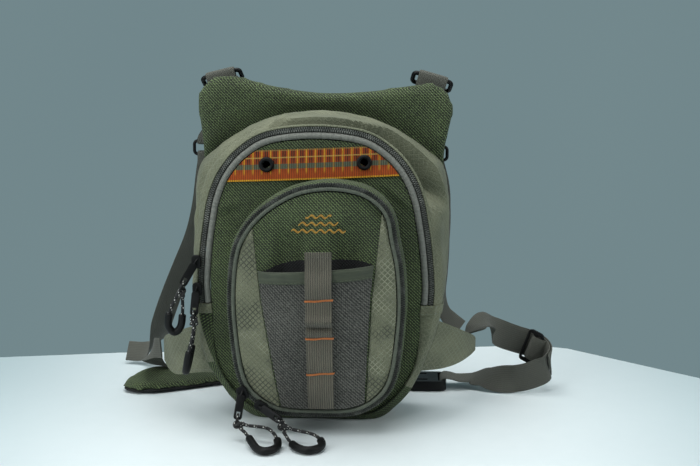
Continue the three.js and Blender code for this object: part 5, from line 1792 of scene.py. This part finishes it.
def makeHorns():
    horns = [
        {"name": "Left", "tag": "left", "x": -91, "z": 286.3, "tilt": -13.5, "neckX": -70, "footX": -62},
        {"name": "Right", "tag": "right", "x": 91.3, "z": 283.2, "tilt": 16, "neckX": 58, "footX": 30},
    ]
    seat = {
        "depth": 52.3, "sewn": -10, "rearBack": 10, "rearRise": -8, "ringWider": 8,
        "route": [  # down the back: share of the way from neck to foot, depth and height
            (0, 56.5, 226), (0.5, 55, 130), (0.9, 58, 45), (1, 68, 20), (1, 88, 13.4), (1, 116, 12.4),
        ],
    }
    turn = turnRadius(pack["hornWire"])
    width = pack["wideWebbing"]
    for horn in horns:
        name, tag = horn["name"], horn["tag"]
        angle = math.radians(horn["tilt"])
        along = np.array([math.cos(angle), 0, -math.sin(angle)])
        up = np.array([math.sin(angle), 0, math.cos(angle)])
        front = np.array([horn["x"], seat["depth"], horn["z"]], float)
        rear = front + backward * seat["rearBack"] + up * seat["rearRise"]
        rows = [
            [*(front - backward * turn + up * seat["sewn"]), *along],
            *turnRows(front, turn, -backward, up, along),
            [*(front + backward * turn + up * seat["sewn"]), *along],
        ]
        webbingPiece(f"hornLoop{name}", rows, width, f"horn_loop_{tag}")
        ringPiece(
            f"hornRing{name}", f"horn_ring_{tag}", lerp(front, rear, 0.5), width + seat["ringWider"],
            np.linalg.norm(rear - front), along, unit(rear - front), pack["hornWire"],
        )
        rows = [
            [*(rear - backward * turn - up * 14), *along],
            *turnRows(rear, turn, -backward, up, along),
            [*(rear + backward * (turn + 1) - up * 16), *along],
            *[[lerp(horn["neckX"], horn["footX"], share), y, z, 1, 0, 0] for share, y, z in seat["route"]],
        ]
        strap = webbingPiece(f"shoulderStrap{name}", rows, width, f"shoulder_strap_{tag}")
        boxStitch(f"shoulderStrap{name}Stitches", *strap, width)


def makeSideStraps():
    ring = {"long": 26.0, "short": 11.5, "depth": 52.5, "sewn": 50.2}
    sides = [
        {
            "name": "Left", "tag": "left", "x": -102.0, "z": 223.0, "slant": 13.0,
            "path": [
                (-105, 57, 200, 1, 0, 0.2), (-111, 66, 170, 1, 0, 0.25), (-121, 80, 141, 1, 0, 0.35),
                (-136, 93, 111, 1, 0.1, 0.4), (-151, 107, 80, 1, 0.1, 0.4), (-164, 122, 50, 1, 0.1, 0.3),
                (-174, 142, 26, 0.8, 0.3, 0.6), (-190, 155, 13, 0.2, 0.5, 0.8), (-208, 159, 12, 0, 0.5, 0.8),
            ],
        },
        {
            "name": "Right", "tag": "right", "x": 91.0, "z": 218.5, "slant": 0.0,
            "path": [
                (96, 56, 194, 1, 0.2, 0), (101, 60, 170, 0.7, 0.7, 0), (103.5, 62, 140, 0.4, 0.9, 0),
                (103, 62.5, 112, 0.35, 0.93, 0.05), (101.5, 62.5, 90, 0.35, 0.9, 0.15),
                (104.5, 62.5, 76, 0.4, 0.85, 0.3), (111, 62.5, 69, 0.4, 0.8, 0.4),
                (118, 62, 62.5, 0.4, 0.7, 0.5),
            ],
        },
    ]
    up, flat = np.array([0.0, 0.0, 1.0]), (1, 0, 0)
    turn, width = turnRadius(pack["ringWire"]), pack["sideWebbing"]
    tabBack = ring["sewn"] + pack["webbingWall"] + 0.4
    for side in sides:
        name, tag, x, slant = side["name"], side["tag"], side["x"], side["slant"]
        centre = np.array([x, ring["depth"], side["z"]])
        upperBar, lowerBar = centre + up * ring["short"] / 2, centre - up * ring["short"] / 2
        ringPiece(
            f"sideRing{name}", f"side_ring_{tag}", centre, ring["long"], ring["short"],
            np.array([1.0, 0.0, 0.0]), up, pack["ringWire"],
        )
        rows = [
            [x + slant, ring["sewn"], upperBar[2] + 24, *flat],
            [x + slant * 0.3, ring["sewn"], upperBar[2] + 6, *flat],
            *turnRows(upperBar, turn, -backward, -up, flat),
            [x + slant * 0.36, ring["depth"] + 0.5, upperBar[2] + 8, *flat],
            [x + slant * 0.76, tabBack, upperBar[2] + 18, *flat],
        ]
        webbingPiece(f"sideTab{name}", rows, width, f"side_tab_{tag}")
        rows = [
            [x, ring["depth"] - turn, lowerBar[2] - 9, *flat],
            *turnRows(lowerBar, turn, -backward, up, flat),
            *side["path"],
        ]
        webbingPiece(f"sideStrap{name}", rows, width, f"side_strap_{tag}")


def makeBelt():
    width = pack["wideWebbing"]
    tie = [
        (-147.5, 45.5, 45, 0, 0, 1), (-155, 53, 43, 0.2, 0, 1), (-161, 64, 36, 0.5, 0.1, 0.8),
        (-164, 76, 28, 0.9, 0, 0.4), (-162, 87, 20, 1, -0.3, 0.1), (-155, 95, 14.8, 0.8, -0.6, 0),
        (-146, 100, 12.6, 0.6, -0.8, 0), (-136, 105, 12.4, 0.45, -0.9, 0),
    ]
    webbingPiece("padTie", tie, 18.0, "pad_tie")
    belt = [
        (130.5, 58.5, 60.2, -0.25, 0.95, 0), (134.5, 66, 63.8, -0.25, 0.95, 0.1),
        (142.5, 77, 65, -0.2, 0.9, 0.3), (151, 88.5, 54.5, -0.05, 0.25, 0.97), (160, 96, 48.5, 0.05, 0, 1),
        (172, 100.5, 43.5, 0.1, 0, 1), (183, 101, 40, 0.15, 0, 1), (192, 95.5, 36, 0.1, -0.05, 1),
        (198, 86, 29.5, 0, 0, 1), (196, 77.5, 22.5, -0.15, 0, 1), (184, 74.5, 17, -0.1, 0, 1),
        (169, 75, 13.2, 0, 0, 1), (155, 79, 11.6, 0, 0.55, 0.85), (143, 88, 11, 0, 1, 0.35),
        (130, 96, 7.5, 0, 1, 0.05), (119, 93.5, 8, 0, 1, 0), (111, 92.5, 10.2, 0, 1, 0),
        (105.5, 92.5, 10.6, 0, 1, 0), (102.6, 92.5, 8.4, 0, 1, 0), (102, 92.5, 4, 0, 1, 0),
    ]
    webbingPiece("beltWebbing", belt, width, "belt")
    tail = [
        (188, 104, 36.5, 0.1, 0, 1), (196, 98.5, 34.2, 0.08, -0.03, 1), (201.2, 87.5, 29.2, 0, 0, 1),
        (200.4, 79.5, 24.2, -0.1, 0, 1),
    ]
    webbingPiece("beltTail", tail, width, "belt_tail")
    softened("belt_slider", "beltSlider", black, 0.9)

    # The turn of webbing over the slider: steps across it and how far they lift
    over = {
        "middle": (187.7, 98.7, 38.1), "lift": 4.9, "width": 22.0,
        "steps": [(-12.5, -2.6), (-9.5, 0.6), (-5.5, 2.7), (-1.0, 2.6), (2.0, 0.6), (3.2, -1.6)],
    }
    out, long = unit(np.array([-0.52, -0.85, 0.0])), np.array([0.33, -0.1, 0.94])
    short = unit(np.cross(out, long))
    middle = np.array(over["middle"]) + out * over["lift"]
    rows = [[*(middle + short * reach + out * lift), *long] for reach, lift in over["steps"]]
    webbingPiece("beltOverSlider", rows, over["width"], None)
    softened("belt_buckle", "beltBuckle", black, 1.2)


makeHorns()
makeSideStraps()
makeBelt()
print("harness made")
